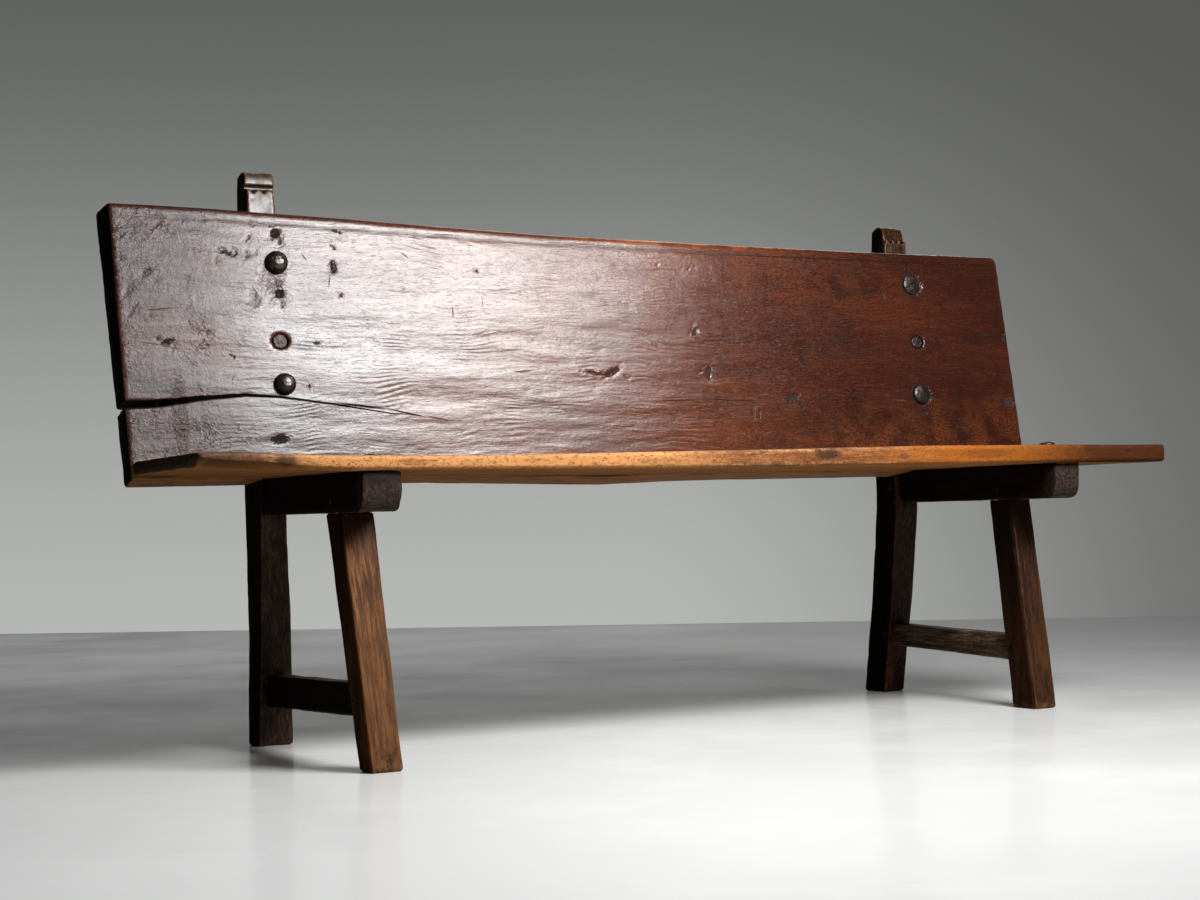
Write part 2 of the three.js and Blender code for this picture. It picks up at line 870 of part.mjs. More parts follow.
function post(side) {
  const toTrestle = (geometry) => geometry.applyMatrix4(toBench).translate(-side.middle, 0, 0);
  const cuts = side.nails.map((size) => toTrestle(backNailHole(side, size)));
  cuts.push(toTrestle(backPegHole(side)));
  cuts.push(railTenon(side, fitGap), stretcherRearTenon(side, fitGap));
  cuts.push(railRearPin(side, fitGap), stretcherRearPin(side, fitGap));
  return piece(`${side.name}_post`, cutAll(carveScroll(side, postBlank(side)), cuts), trestleWood);
}

// Rail: its rounded nose shows under the seat's front, and its tenon goes into the post
function railRearOf(side) {
  return postFaceOf(side) - fitGap;
}

function railNoseOf(side) {
  return seatFrontAt(side.middle) + noseSetback;
}

function railTenon(side, gap) {
  const rear = railRearOf(side);
  return block(
    around((side.railShift + side.kneeShift) / 2, railTenonThickness + 2 * gap),
    [rear - tenonRoot, rear + railTenonLength + gap],
    around(railMiddleOf(side), railTenonHeight + 2 * gap),
  );
}

// A peg through a timber of a known width, or the hole for it when it has a gap
function jointPin(width, gap, place) {
  return crossPin(jointPegRadius + gap, width + 2 * (gap > 0 ? overrun : jointPegProud), place);
}

function railRearPin(side, gap) {
  const place = { x: side.kneeShift, y: postFaceOf(side) + railPegInset, z: railMiddleOf(side) };
  return jointPin(side.kneeWidth, gap, place);
}

function railFrontPin(side, gap) {
  const height = railBottomOf(side) + legPegRise;
  const place = { x: side.railShift, y: legMiddleAt(side, height), z: height };
  return jointPin(side.railWidth, gap, place);
}

function rail(side) {
  const nose = railNoseOf(side);
  const rear = railRearOf(side);
  const top = railTopOf(side);
  const bottom = railBottomOf(side);
  const shape = new THREE.Shape();
  shape.moveTo(nose, top);
  shape.lineTo(nose, top - noseFace);
  shape.quadraticCurveTo(nose, bottom, nose + noseRound, bottom);
  shape.lineTo(rear, bottom);
  shape.lineTo(rear, top);
  const timber = sweepAcross(shape, side.railWidth, railArris).translate(side.railShift, 0, 0);
  const body = toSolid(timber).add(toSolid(railTenon(side, 0)));
  const nailHoles = seatNailPlaces(side).map(({ y }) => seatNailHole(side, y));
  const cuts = [...nailHoles, legTenon(side, fitGap), railRearPin(side, fitGap), railFrontPin(side, fitGap)];
  return piece(`${side.name}_rail`, cutAll(body, cuts), trestleWood);
}

// Front leg: raked forward and a little sideways, and tenoned up into the rail
function legShareAt(side, height) {
  return height / railBottomOf(side);
}

function legFrontAt(side, height) {
  return spread(legShareAt(side, height), side.frontFoot, side.frontTop);
}

function legShiftAt(side, height) {
  return spread(legShareAt(side, height), side.frontFootShift, 0);
}

function legWidthAt(side, height) {
  return spread(legShareAt(side, height), side.frontFootWidth, side.frontTopWidth);
}

function legDepthAt(side, height) {
  return spread(legShareAt(side, height), side.frontFootDepth, side.frontTopDepth);
}

function legMiddleAt(side, height) {
  return legFrontAt(side, height) + legDepthAt(side, height) / 2;
}

function legRing(side, height) {
  const front = legFrontAt(side, height);
  const sides = around(legShiftAt(side, height), legWidthAt(side, height));
  const corners = hewnCorners(sides, [front, legRearAt(side, height)], legArris);
  return corners.map(([x, y]) => new THREE.Vector3(x, y, height));
}

function legTenon(side, gap) {
  const shoulder = railBottomOf(side) - fitGap;
  const rings = [shoulder - tenonRoot, shoulder + legTenonLength + gap].map((height) => {
    const spanX = around(legShiftAt(side, height), legTenonThickness + 2 * gap);
    const spanY = around(legMiddleAt(side, height), legTenonWidth + 2 * gap);
    return hewnCorners(spanX, spanY, legTenonArris).map(([x, y]) => new THREE.Vector3(x, y, height));
  });
  return loft(rings, acrossZ);
}

function frontLeg(side) {
  const shoulder = railBottomOf(side) - fitGap;
  const rings = [footArris, shoulder / 2, shoulder].map((height) => legRing(side, height));
  rings.unshift(drawIn(legRing(side, 0), footArris, 'z'));
  const body = toSolid(loft(rings, acrossZ)).add(toSolid(legTenon(side, 0)));
  const pins = [railFrontPin(side, fitGap), stretcherFrontPin(side, fitGap)];
  const cuts = [...pins, stretcherFrontTenon(side, fitGap)];
  return piece(`${side.name}_front_leg`, cutAll(body, cuts), trestleWood);
}

// Stretcher: its shoulders follow the slanting faces of the leg and the post
function legRearAt(side, height) {
  return legFrontAt(side, height) + legDepthAt(side, height);
}

function stretcherRing(side, height, size, shift, faceAt) {
  const corners = hewnCorners(around(shift, stretcherThickness), around(height, size), stretcherArris);
  return corners.map(([x, z]) => new THREE.Vector3(x, faceAt(z), z));
}

function stretcherFrontTenon(side, gap) {
  const height = side.stretcherFrontHeight;
  const face = legRearAt(side, height);
  return block(
    around(legShiftAt(side, height), stretcherTenonThickness + 2 * gap),
    [face - stretcherTenonLength - gap, face + tenonRoot],
    around(height, stretcherTenonHeight + 2 * gap),
  );
}

function stretcherRearTenon(side, gap) {
  const height = side.stretcherRearHeight;
  const face = postFrontAt(side, height);
  return block(
    around(postShiftAt(side, height), stretcherTenonThickness + 2 * gap),
    [face - tenonRoot, face + stretcherTenonLength + gap],
    around(height, stretcherTenonHeight + 2 * gap),
  );
}

function stretcherFrontPin(side, gap) {
  const height = side.stretcherFrontHeight;
  const place = { x: legShiftAt(side, height), y: legRearAt(side, height) - stretcherPegInset, z: height };
  return jointPin(legWidthAt(side, height), gap, place);
}

function stretcherRearPin(side, gap) {
  const height = side.stretcherRearHeight;
  const place = { x: postShiftAt(side, height), y: postFrontAt(side, height) + stretcherPegInset, z: height };
  return jointPin(postWidthAt(side, height), gap, place);
}

function stretcher(side) {
  const frontHeight = side.stretcherFrontHeight;
  const rearHeight = side.stretcherRearHeight;
  const frontShift = legShiftAt(side, frontHeight);
  const rearShift = postShiftAt(side, rearHeight);
  const rings = [
    stretcherRing(side, frontHeight, side.stretcherFrontSize, frontShift, (z) => legRearAt(side, z) + fitGap),
    stretcherRing(side, rearHeight, side.stretcherRearSize, rearShift, (z) => postFrontAt(side, z) - fitGap),
  ];
  const tenons = [stretcherFrontTenon(side, 0), stretcherRearTenon(side, 0)];
  const body = tenons.reduce((solid, tenon) => solid.add(toSolid(tenon)), toSolid(loft(rings, acrossY)));
  const cuts = [stretcherFrontPin(side, fitGap), stretcherRearPin(side, fitGap)];
  return piece(`${side.name}_stretcher`, cutAll(body, cuts), trestleWood);
}

function jointPegs(side) {
  const pins = {
    rail_peg_front: railFrontPin(side, 0),
    rail_peg_rear: railRearPin(side, 0),
    stretcher_peg_front: stretcherFrontPin(side, 0),
    stretcher_peg_rear: stretcherRearPin(side, 0),
  };
  return Object.entries(pins).map(([name, pin]) => piece(`${side.name}_${name}`, toSolid(pin), pegWood));
}

function trestle(side) {
  const group = new THREE.Group();
  group.position.x = side.middle;
  group.add(post(side), rail(side), frontLeg(side), stretcher(side), ...jointPegs(side));
  return group;
}

function seat() {
  const group = new THREE.Group();
  group.add(seatPlank());
  for (const side of trestles) {
    group.add(...seatNailPlaces(side).map((place) => seatNail(side, place)));
  }
  return group;
}

function back() {
  const group = leaningFrame();
  group.add(backPlank());
  for (const side of trestles) {
    group.add(...side.nails.map((size) => backNail(side, size)), backPeg(side));
  }
  return group;
}

// The origin is on the floor, under the middle of the bench's box
function monksBench() {
  const bench = new THREE.Group();
  bench.add(seat(), back(), ...trestles.map(trestle));
  bench.updateMatrixWorld(true);
  const bounds = new THREE.Box3().setFromObject(bench, true);
  const middle = bounds.getCenter(new THREE.Vector3());
  bench.position.set(-middle.x, -middle.y, -bounds.min.z);
  return bench;
}

const group = monksBench();
export default group;
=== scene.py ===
import math

import bpy
import numpy as np
from mathutils import Matrix, Vector, noise
from mathutils.bvhtree import BVHTree


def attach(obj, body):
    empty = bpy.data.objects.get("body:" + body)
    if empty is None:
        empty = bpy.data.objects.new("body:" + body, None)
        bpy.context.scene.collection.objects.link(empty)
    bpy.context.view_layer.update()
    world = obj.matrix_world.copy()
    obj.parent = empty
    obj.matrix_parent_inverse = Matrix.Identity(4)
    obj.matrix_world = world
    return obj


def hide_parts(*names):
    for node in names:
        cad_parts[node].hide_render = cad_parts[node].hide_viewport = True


# A rustic monks bench of hewn and waxed timber. Metres, Z up, front towards -Y.
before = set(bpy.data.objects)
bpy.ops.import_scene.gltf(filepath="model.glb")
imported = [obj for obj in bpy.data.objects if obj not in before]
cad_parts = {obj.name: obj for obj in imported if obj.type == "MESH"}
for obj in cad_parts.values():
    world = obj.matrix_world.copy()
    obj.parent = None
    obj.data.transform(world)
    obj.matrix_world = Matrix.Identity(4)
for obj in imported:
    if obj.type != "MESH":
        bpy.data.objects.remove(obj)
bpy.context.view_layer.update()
print("frame loaded:", len(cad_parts), "nodes")

mm = 0.001
along, back, up = 0, 1, 2
backLean = math.radians(9.3)
backFoot = Vector((0, 88.8 * mm, 450 * mm))   # where the back's face meets the seat's top

studio = {
    "cameraPlace": (-1736.9 * mm, -2941.2 * mm, 358.4 * mm),
    "cameraYaw": 29.094, "cameraPitch": 1.744, "cameraRoll": -1.642, "lens": 61.53,
    "viewRight": (0.874, -0.486, 0),   # level, towards the right of the photo
    "keyPlace": (0.40, -1.50, 1.53), "keyAim": (-0.20, 0.10, 0.55), "keySize": (0.95, 0.48), "keyPower": 77,
    "fillPlace": (0.3, -3.0, 2.8), "fillAim": (-1.2, -1.1, 0), "fillSize": (2.2, 1.2), "fillPower": 37,
    "rearPlace": (1.9, 2.6, 2.3), "rearAim": (0, 0.2, 0.4), "rearSize": (2.0, 1.4), "rearPower": 16,
    "skyLight": 0.05,
    "wallLow": (0.47, 0.48, 0.47), "wallHigh": (0.115, 0.12, 0.115), "wallDark": (0.088, 0.09, 0.085),
    "wallSide": 0.85, "wallRise": (-0.08, 0.27), "wallAside": (0.0, 0.34),
    "glowAcross": (-0.12, 0.14), "glowRange": 0.95, "glowLeast": 0.05,
    "floorColor": (0.86, 0.87, 0.86), "floorFarLeft": (-0.119, 4.246), "floorFarRight": (2.778, 1.537),
    "floorReach": 9.0, "floorSpread": 3.0, "floorBounce": (0.30, 0.30, 0.30),
    "floorRough": 0.16, "floorScuffRough": 0.10, "floorScuffed": 0.86,
    "scratchColor": (0.16, 0.16, 0.15), "scratchShare": 0.7,
    "scratchPlace": (-0.3, 0.75, 0), "scratchSize": (1.6, 0.9, 1),
    "rightShadeColor": (0.3, 0.3, 0.3), "rightShadeShare": 0.4, "rightShadeFrom": (-0.15, 0.8),
}


# Shader maths: a wrapped socket, on which sums add Math nodes
class Wire:
    def __init__(self, tree, socket=None):
        self.tree = tree
        self.socket = socket

    def node(self, kind, settings=None, sockets=None, out=0):
        made = self.tree.nodes.new("ShaderNode" + kind)
        for name, value in (settings or {}).items():
            setattr(made, name, value)
        for name, value in (sockets or {}).items():
            if isinstance(value, Wire):
                self.tree.links.new(value.socket, made.inputs[name])
            else:
                made.inputs[name].default_value = value
        return Wire(self.tree, made.outputs[out] if len(made.outputs) else None)

    def math(self, operation, *values):
        return self.node("Math", {"operation": operation}, dict(enumerate(values)))

    def vector(self, operation, other, out=0):
        return self.node("VectorMath", {"operation": operation}, {0: self, 1: other}, out)

    def __add__(self, other):
        return self.math("ADD", self, other)

    __radd__ = __add__

    def __sub__(self, other):
        return self.math("SUBTRACT", self, other)

    def __rsub__(self, other):
        return self.math("SUBTRACT", other, self)

    def __mul__(self, other):
        return self.math("MULTIPLY", self, other)

    __rmul__ = __mul__

    def addTimes(self, mask, share):
        return self.math("MULTIPLY_ADD", mask, share, self)

    def sine(self):
        return self.math("SINE", self)

    def larger(self, other):
        return self.math("MAXIMUM", self, other)

    # 0 below low and 1 above high, or the other way round where low is the higher
    def step(self, low, high):
        values = {"Value": self, "From Min": low, "From Max": high}
        return self.node("MapRange", {"interpolation_type": "SMOOTHSTEP", "clamp": True}, values)

    # This mask mixes two colours
    def blend(self, lower, upper):
        settings = {"data_type": "RGBA", "blend_type": "MIX", "clamp_factor": True}
        lower = lower if isinstance(lower, Wire) else (*lower, 1)
        upper = upper if isinstance(upper, Wire) else (*upper, 1)
        return self.node("Mix", settings, {0: self, 6: lower, 7: upper}, 2)

    def noise(self, scale, detail=3, roughness=0.55, distortion=0):
        values = {"Vector": self, "Scale": scale, "Detail": detail, "Roughness": roughness,
                  "Distortion": distortion}
        return self.node("TexNoise", None, values)

    # Distance to the nearest of scattered seeds: pits between sharp ridges
    def chips(self, scale, stretch=(1, 1, 1), turn=(0, 0, 0)):
        turned = self.seenFrom((0, 0, 0), turn, stretch)
        return self.node("TexVoronoi", None, {"Vector": turned, "Scale": scale})

    # These coordinates pushed about by a noise of their own
    def warped(self, scale, reach):
        push = self.node("TexNoise", None, {"Vector": self, "Scale": scale, "Detail": 2}, 1)
        push = push.vector("SUBTRACT", (0.5, 0.5, 0.5)).vector("MULTIPLY", tuple(reach))
        return self.vector("ADD", push)

    # Coordinates seen from a place, turned about it and counted in sizes of its own
    def seenFrom(self, centre, turn=(0, 0, 0), size=(1, 1, 1)):
        values = {"Vector": self, "Location": centre, "Rotation": turn, "Scale": size}
        return self.node("Mapping", {"vector_type": "TEXTURE"}, values)

    # 1 inside an ellipsoid and 0 outside it, with a soft rim
    def patch(self, centre, size, turn=(0, 0, 0), soft=0.5):
        return self.seenFrom(centre, turn, size).vector("LENGTH", (0, 0, 0), 1).step(1, 1 - soft)

    def part(self, axis):
        return self.node("SeparateXYZ", None, {0: self}, axis)


def newMaterial(name):
    material = bpy.data.materials.new(name)
    material.use_nodes = True
    tree = material.node_tree
    tree.nodes.clear()
    return material, Wire(tree)


def finishMaterial(wire, sockets):
    shader = wire.node("BsdfPrincipled", None, sockets)
    wire.node("OutputMaterial", None, {"Surface": shader})


def place(wire):
    return wire.node("TexCoord", None, None, 3)


def attribute(wire, name):
    return wire.node("Attribute", {"attribute_name": name}, None, 2)


# Wood: colours and relief run along the grain, and the marks of each piece lie over them. Left-hand sides
# are painted in shade, and these and cracks are made metal with next to no colour, so they show no shine
def woodMaterial(name, look):
    material, wire = newMaterial(name)
    grain = look["grain"]
    bend = [look["flow"] * mm] * 3
    bend[grain] = 0
    here = place(wire)
    lying = here.seenFrom((0, 0, 0), look["turn"]) if "turn" in look else here
    flowing = lying.warped(look["flowScale"], bend)

    def grained(stretch):
        scale = [1, 1, 1]
        scale[grain] = 1 / stretch
        return flowing.vector("MULTIPLY", tuple(scale))

    # Broad tones, then the figure, fibres, pores and specks
    blotch = grained(2.4).noise(look["blotchScale"], 3, 0.6)
    base = blotch.step(0.34, 0.66).blend(look["dark"], look["middle"])
    warm = grained(4).noise(look["blotchScale"] * 2.1 + 1, 3, 0.6).step(0.46, 0.70)
    base = (warm * look["warmth"]).blend(base, look["light"])
    band = grained(look["figureStretch"]).noise(look["figureScale"], 3, 0.55)
    streak = band.step(0.40, 0.62)
    base = ((1 - streak) * look["figureDepth"]).blend(base, look["line"])
    fibre = grained(22).noise(look["fibreScale"], 3, 0.6)
    base = ((1 - fibre.step(0.32, 0.60)) * look["fibreDepth"]).blend(base, look["line"])
    base = (fibre.step(0.52, 0.74) * look["glint"]).blend(base, look["light"])
    pore = grained(9).noise(look["fibreScale"] * 1.5, 2, 0.5).step(0.60, 0.70)
    base = (pore * look["poreDepth"]).blend(base, look["line"])
    speck = here.noise(look["speckScale"], 3, 0.6).step(0.64, 0.76)
    base = (speck * look["speckDepth"]).blend(base, look["line"])

    # Worn arrises and grimy hollows
    fret = here.noise(46, 4, 0.65)
    worn = attribute(wire, "worn") * fret.step(0.36, 0.58) * attribute(wire, "mark").step(0.12, 0)
    base = (worn * look["wear"]).blend(base, look["wornColor"])
    hollow = attribute(wire, "hollow")
    base = (hollow * look["grime"]).blend(base, look["grimeColor"])
    rough = look["roughness"] + 0.10 * (1 - streak) * look["figureDepth"] + 0.2 * pore + 0.25 * hollow
    rough = rough + (blotch - 0.5) * 0.2 - worn * look["polish"]
    ripple = grained(look["rippleStretch"]).noise(look["rippleScale"], 3, 0.6)
    height = fibre * look["fibreRelief"] + ripple * look["ripple"] - pore * 0.05 - speck * 0.12

    # Left-hand sides are painted darker as shade, grit lies everywhere, and backs were left dry
    shadedSide = wire.node("NewGeometry", None, None, 1).part(0).step(-0.3, -0.75)
    base = (shadedSide * look["sideShade"]).blend(base, look["line"])
    grit = here.noise(300, 4, 0.75)
    base = (grit.step(0.52, 0.38) * look["grit"]).blend(base, look["line"])
    height = height + grit * look["grit"] * 0.9
    rough = rough + shadedSide * look["sideShade"] * 0.45
    rearward = wire.node("NewGeometry", None, None, 1).part(1).step(0.4, 0.8)
    dry = grained(9).noise(110, 4, 0.65).step(0.35, 0.65).blend(look["dryDark"], look["dryLight"])
    dry = (fibre.step(0.60, 0.40) * 0.5).blend(dry, look["dryDark"])
    base = (rearward * (1 - hollow)).blend(base, dry)
    rough = rough + rearward * 0.25

    skin = {"base": base, "rough": rough, "height": height, "coat": look["coat"]}
    skin["lost"] = shadedSide * look["sideShade"]
    for paint in look.get("paints", ()):
        paint(wire, skin, look)
    bump = wire.node("Bump", None, {"Strength": 1, "Distance": mm, "Height": skin["height"]})
    rough = rough.node("Clamp", None, {0: skin["rough"], 1: 0.12, 2: 0.98})
    finishMaterial(wire, {
        "Base Color": skin["base"], "Roughness": rough, "Normal": bump, "IOR": look["ior"],
        "Coat Weight": skin["coat"], "Coat Roughness": look["coatRoughness"], "Metallic": skin["lost"],
    })
    return material


def ironMaterial(name, look):
    material, wire = newMaterial(name)
    here = place(wire)
    patch = here.noise(look["patchScale"], 4, 0.6)
    rust = here.noise(look["patchScale"] * 2.3, 4, 0.65).step(0.55, 0.75) * look["rust"]
    base = patch.step(0.35, 0.65).blend(look["dark"], look["middle"])
    base = rust.blend(base, look["rustColor"])
    base = (attribute(wire, "worn") * look["wear"]).blend(base, look["wornColor"])
    pit = here.noise(700, 3, 0.6)
    rough = look["roughness"] + (patch - 0.5) * 0.3 + rust * 0.25
    bump = wire.node("Bump", None, {"Strength": 1, "Distance": mm, "Height": pit * 0.08 + patch * 0.4})
    finishMaterial(wire, {
        "Base Color": base, "Metallic": look["metal"] - rust * 0.7 * look["metal"], "Roughness": rough,
        "Normal": bump, "Coat Weight": 0.2, "Coat Roughness": 0.25,
    })
    return material


# Mesh work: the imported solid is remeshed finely, with longer cells along its grain
def points(mesh):
    flat = np.empty(len(mesh.vertices) * 3)
    mesh.vertices.foreach_get("co", flat)
    return flat.reshape(-1, 3)


# How a raked leg is turned, so that its grain runs from foot to top
def rakeOf(node):
    corners = points(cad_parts[node].data)
    heights = corners[:, 2]
    foot = corners[heights < heights.min() + 30 * mm].mean(0)
    top = corners[heights > heights.max() - 30 * mm].mean(0)
    run = (top - foot) / np.linalg.norm(top - foot)
    return math.asin(-run[1]), math.atan2(run[0], run[2]), 0


def normals(mesh):
    flat = np.empty(len(mesh.vertices) * 3)
    mesh.vertex_normals.foreach_get("vector", flat)
    return flat.reshape(-1, 3)


def neighbourMean(values, ends, count):
    first, second = ends[:, 0], ends[:, 1]
    degree = np.bincount(first, minlength=count) + np.bincount(second, minlength=count)
    total = np.zeros_like(values)
    for axis in range(values.shape[1]):
        total[:, axis] = np.bincount(first, values[second, axis], count)
        total[:, axis] += np.bincount(second, values[first, axis], count)
    return total / degree[:, None]


def edgeEnds(mesh):
    flat = np.empty(len(mesh.edges) * 2, dtype=np.int32)
    mesh.edges.foreach_get("vertices", flat)
    return flat.reshape(-1, 2)


def smoothed(values, ends, rounds, share=0.5):
    for _ in range(rounds):
        values = values + (neighbourMean(values, ends, len(values)) - values) * share
    return values


# The fine mesh is drawn back onto the solid's own faces, so its ends and arrises keep their places
def remeshed(node, look):
    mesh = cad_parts[node].data.copy()
    mesh.materials.clear()
    lean = Matrix.Identity(4)
    if look.get("leans"):
        lean = Matrix.Rotation(backLean, 4, "X") @ Matrix.Translation(-backFoot)
    mesh.transform(lean)
    corners = [vertex.co.copy() for vertex in mesh.vertices]
    solid = BVHTree.FromPolygons(corners, [tuple(face.vertices) for face in mesh.polygons])
    squeeze = Matrix.Identity(4)
    squeeze[look["grain"]][look["grain"]] = 1 / look["cellStretch"]
    mesh.transform(squeeze)
    rough = bpy.data.objects.new(node + "_rough", mesh)
    bpy.context.scene.collection.objects.link(rough)
    cells = rough.modifiers.new("cells", "REMESH")
    cells.mode = "VOXEL"
    cells.voxel_size = look["cell"] * mm
    graph = bpy.context.evaluated_depsgraph_get()
    fine = bpy.data.meshes.new_from_object(rough.evaluated_get(graph))
    bpy.data.objects.remove(rough)
    fine.transform(squeeze.inverted())
    ends = edgeEnds(fine)
    coords = smoothed(points(fine), ends, 1)
    coords = np.array([solid.find_nearest(spot)[0] for spot in coords])
    coords = smoothed(coords, ends, look["rounding"], 0.3)
    fine.vertices.foreach_set("co", coords.ravel())
    fine.transform(lean.inverted())
    return fine, ends


def fractal(spot):
    return noise.fractal(Vector(spot), 1.0, 2.0, 3)


# How far in a timber's skin lies: hewn waves along the grain, and a knock where the noise runs high
def hewnDepth(coords, look, seed):
    grain = look["grain"]
    wave = look["wave"] * mm
    stretch = np.ones(3) / (look["waveLength"] * mm)
    stretch[grain] /= look["waveStretch"]
    shift = np.array((seed * 3.7, seed * 1.3, seed * 2.1))
    depth = np.array([look["sunk"] + fractal(spot) for spot in coords * stretch + shift]) * wave
    small = np.array([noise.noise(Vector(spot)) for spot in coords / (look["knockSize"] * mm) + shift])
    depth = depth + np.clip(small - 0.3, 0, 1) * look["knock"] * mm
    return np.clip(depth, -look["proud"] * mm, 3 * wave)


def carved(node, material, look, seed, marks=None):
    mesh, ends = remeshed(node, look)
    coords = points(mesh)
    facing = normals(mesh)
    depth = hewnDepth(coords, look, seed)
    shadow = np.zeros(len(coords))
    if marks:
        dents, shadow = marks(coords, facing)
        depth = depth + dents
    coords = coords - facing * depth[:, None]
    coords[:, 2] = np.maximum(coords[:, 2], 0)
    mesh.vertices.foreach_set("co", coords.ravel())
    mesh.update()
    soft = smoothed(coords, ends, look["wearReach"])
    facing = normals(mesh)
    proud = ((coords - soft) * facing).sum(1) / (look["wearDepth"] * mm)   # out past a smoother skin
    for name, values in (("worn", proud - 0.25), ("hollow", -proud), ("mark", shadow)):
        layer = mesh.attributes.new(name, "FLOAT", "POINT")
        layer.data.foreach_set("value", np.clip(values, 0, 1).astype(np.float32))
    mesh.polygons.foreach_set("use_smooth", np.ones(len(mesh.polygons), dtype=bool))
    mesh.materials.append(material)
    piece = bpy.data.objects.new(node + "_look", mesh)
    bpy.context.scene.collection.objects.link(piece)
    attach(piece, "root")
    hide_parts(node)
    print(node, len(mesh.polygons), "faces")


# Back plank. Its marks lie on its face: along, up the slope, half length, half width, turn in
# degrees, depth in millimetres, and how dark. Below zero a line is pale, and a mark hardly dark
backMarks = [
    (-598, 372, 9, 8, 30, 5, 0.9), (-606, 384, 10, 2.5, -40, 1.2, 0.4), (-590, 360, 11, 3, 60, 1.6, 0.5),
    (-643, 362, 11, 2.6, 60, 1.2, 0.4), (-648, 335, 15, 3, 70, 1.5, 0.4),
    (-634, 388, 10, 2.2, -35, 0.9, 0.3), (-627, 346, 12, 2.4, 75, 1.2, 0.3), (-598, 273, 8, 7, 20, 5, 0.9),
    (-602, 289, 13, 3, 105, 1.8, 0.5), (-595, 254, 15, 3, 110, 1.7, 0.4),
    (-611, 262, 10, 2.4, 70, 1.2, 0.35), (-585, 262, 8, 2.4, 120, 1, 0.3),
    (-643, 263, 12, 17, 0, 1.4, 0.05), (-503, 320, 14, 5.5, 95, 3.2, 0.7),
    (-513, 323, 12, 2.4, 95, 0.9, 0.2), (-500, 353, 10, 3, -35, 1.5, 0.5),
    (-492, 380, 12, 2.6, -15, 1.4, 0.5), (-489, 368, 8, 2, 0, 1, 0.3), (-495, 273, 6, 2.4, 60, 1.5, 0.6),
    (-812, 301, 16, 6, 40, 1.6, 0.4), (-799, 289, 10, 4, -20, 1.3, 0.35), (-822, 288, 9, 3, 70, 1, 0.3),
    (-682, 338, 19, 4, -25, 1.7, 0.5), (-697, 326, 12, 3.6, 70, 1.3, 0.4),
    (-667, 341, 10, 2.8, -60, 1.5, 0.5), (-717, 318, 14, 2.8, 75, 1, 0.3),
    (-768, 366, 13, 2.6, -35, 0.9, 0.3), (-828, 372, 26, 11, -40, 1.1, 0.1),
    (-790, 388, 20, 9, -30, 0.9, 0.05), (-843, 272, 21, 7, 65, 2, 0.3), (-838, 238, 14, 6, 50, 1.7, 0.3),
    (-850, 215, 9, 4, 80, 1.2, 0.4), (-787, 191, 14, 6, 20, 2, 0.5), (-801, 196, 8, 3.4, -40, 1.5, 0.5),
    (-777, 180, 8, 2.6, 60, 1, 0.4), (-752, 214, 8, 4, 60, 1.2, 0.3), (-722, 206, 9, 3.6, 65, 1.5, 0.45),
    (-730, 192, 7, 2.6, 50, 1, 0.3), (-684, 170, 7, 2.8, -55, 1.3, 0.5), (-689, 136, 6, 2.2, -40, 1, 0.45),
    (-543, 193, 7, 3.6, 0, 1.5, 0.5), (-562, 121, 7, 3, 90, 1.2, 0.5), (-618, 37, 17, 8, 5, 3, 0.6),
    (-248, 322, 6, 2.6, -20, 1.4, 0.5), (-42, 148, 26, 4, -8, 2.2, 0.5),
    (-8, 150, 21, 6.5, 25, 3, 0.6), (20, 141, 11, 2.6, -30, 1.2, 0.4), (105, 343, 4, 2.6, 0, 1, 0.5),
    (177, 342, 5, 2.2, 0, 0.8, 0.4), (416, 346, 8, 2, 0, 0.7, 0.35), (167, 224, 12, 5, 70, 1.6, 0.5),
    (186, 151, 15, 6, 80, 2.6, 0.75), (172, 154, 11, 2, 5, 1.1, 0.5), (196, 168, 9, 2, 60, 0.9, 0.4),
    (310, 160, 22, 2.2, 0, 0.9, 0.5), (356, 107, 17, 9, 10, 2.2, 0.65), (374, 92, 12, 4, -40, 1.6, 0.6),
    (436, 46, 26, 2.4, 0, 1, 0.5), (470, 44, 14, 2, 12, 0.8, 0.4), (590, 301, 8, 4, 60, 1.2, 0.5),
    (651, 76, 5.5, 5.5, 0, 2.6, 0.8), (867, 226, 10, 7, 90, 2, 0.6), (822, 231, 16, 2.4, 6, 1, 0.5),
    (856, 98, 14, 11, 0, 1, 0.7), (660, 325, 25, 25, 0, 0.3, 0.75), (649, 113, 25, 24, 0, 0.6, 0.8),
    (663, 359, 10, 2, 5, 0.8, -0.5), (684, 356, 6, 2, -30, 0.8, -0.4), (657, 214, 18, 17, 0, 0.5, 0.6),
    (720, 262, 3, 2, 0, 0.2, -0.6), (738, 258, 3, 2, 0, 0.2, -0.6), (486, 252, 2, 2, 0, 0.2, -0.7),
    (810, 318, 4, 2, 60, 0.4, -0.4),
]
backLines = [
    (112, 100, 62, 1.2, 1, 1.3, 0.7), (236, 101, 72, 1.3, -1, 1.4, 0.7), (500, 304, 44, 0.9, 6, 0.9, 0.55),
    (560, 309, 32, 1.1, 5, 1.1, 0.65), (612, 321, 30, 1.4, 22, 1.4, 0.8), (600, 105, 22, 1.5, 0, 1, 0.6),
    (600, 101, 20, 1, 0, 0.1, -0.3), (273, 78, 22, 0.9, 80, 0.1, -0.5), (284, 74, 17, 0.8, 77, 0.1, -0.4),
    (-180, 150, 20, 1.6, 4, 1.5, 0.6), (-243, 268, 16, 0.7, 90, 0.5, 0.35),
    (-299, 249, 13, 1.4, 85, 0.9, 0.4), (-513, 296, 13, 1.3, 80, 0.7, 0.4),
    (-376, 345, 9, 1.5, -35, 1, 0.4), (-553, 335, 9, 1.4, -50, 0.6, 0.3),
    (-800, 186, 46, 0.8, -9, 0.8, 0.5), (-795, 243, 28, 1.6, 8, 0.7, 0.3),
    (-475, 90, 50, 2.2, -7, 2.2, 0.95), (-400, 79, 42, 1.6, -11, 1.6, 0.85), (-345, 70, 26, 1, -12, 1, 0.6),
]


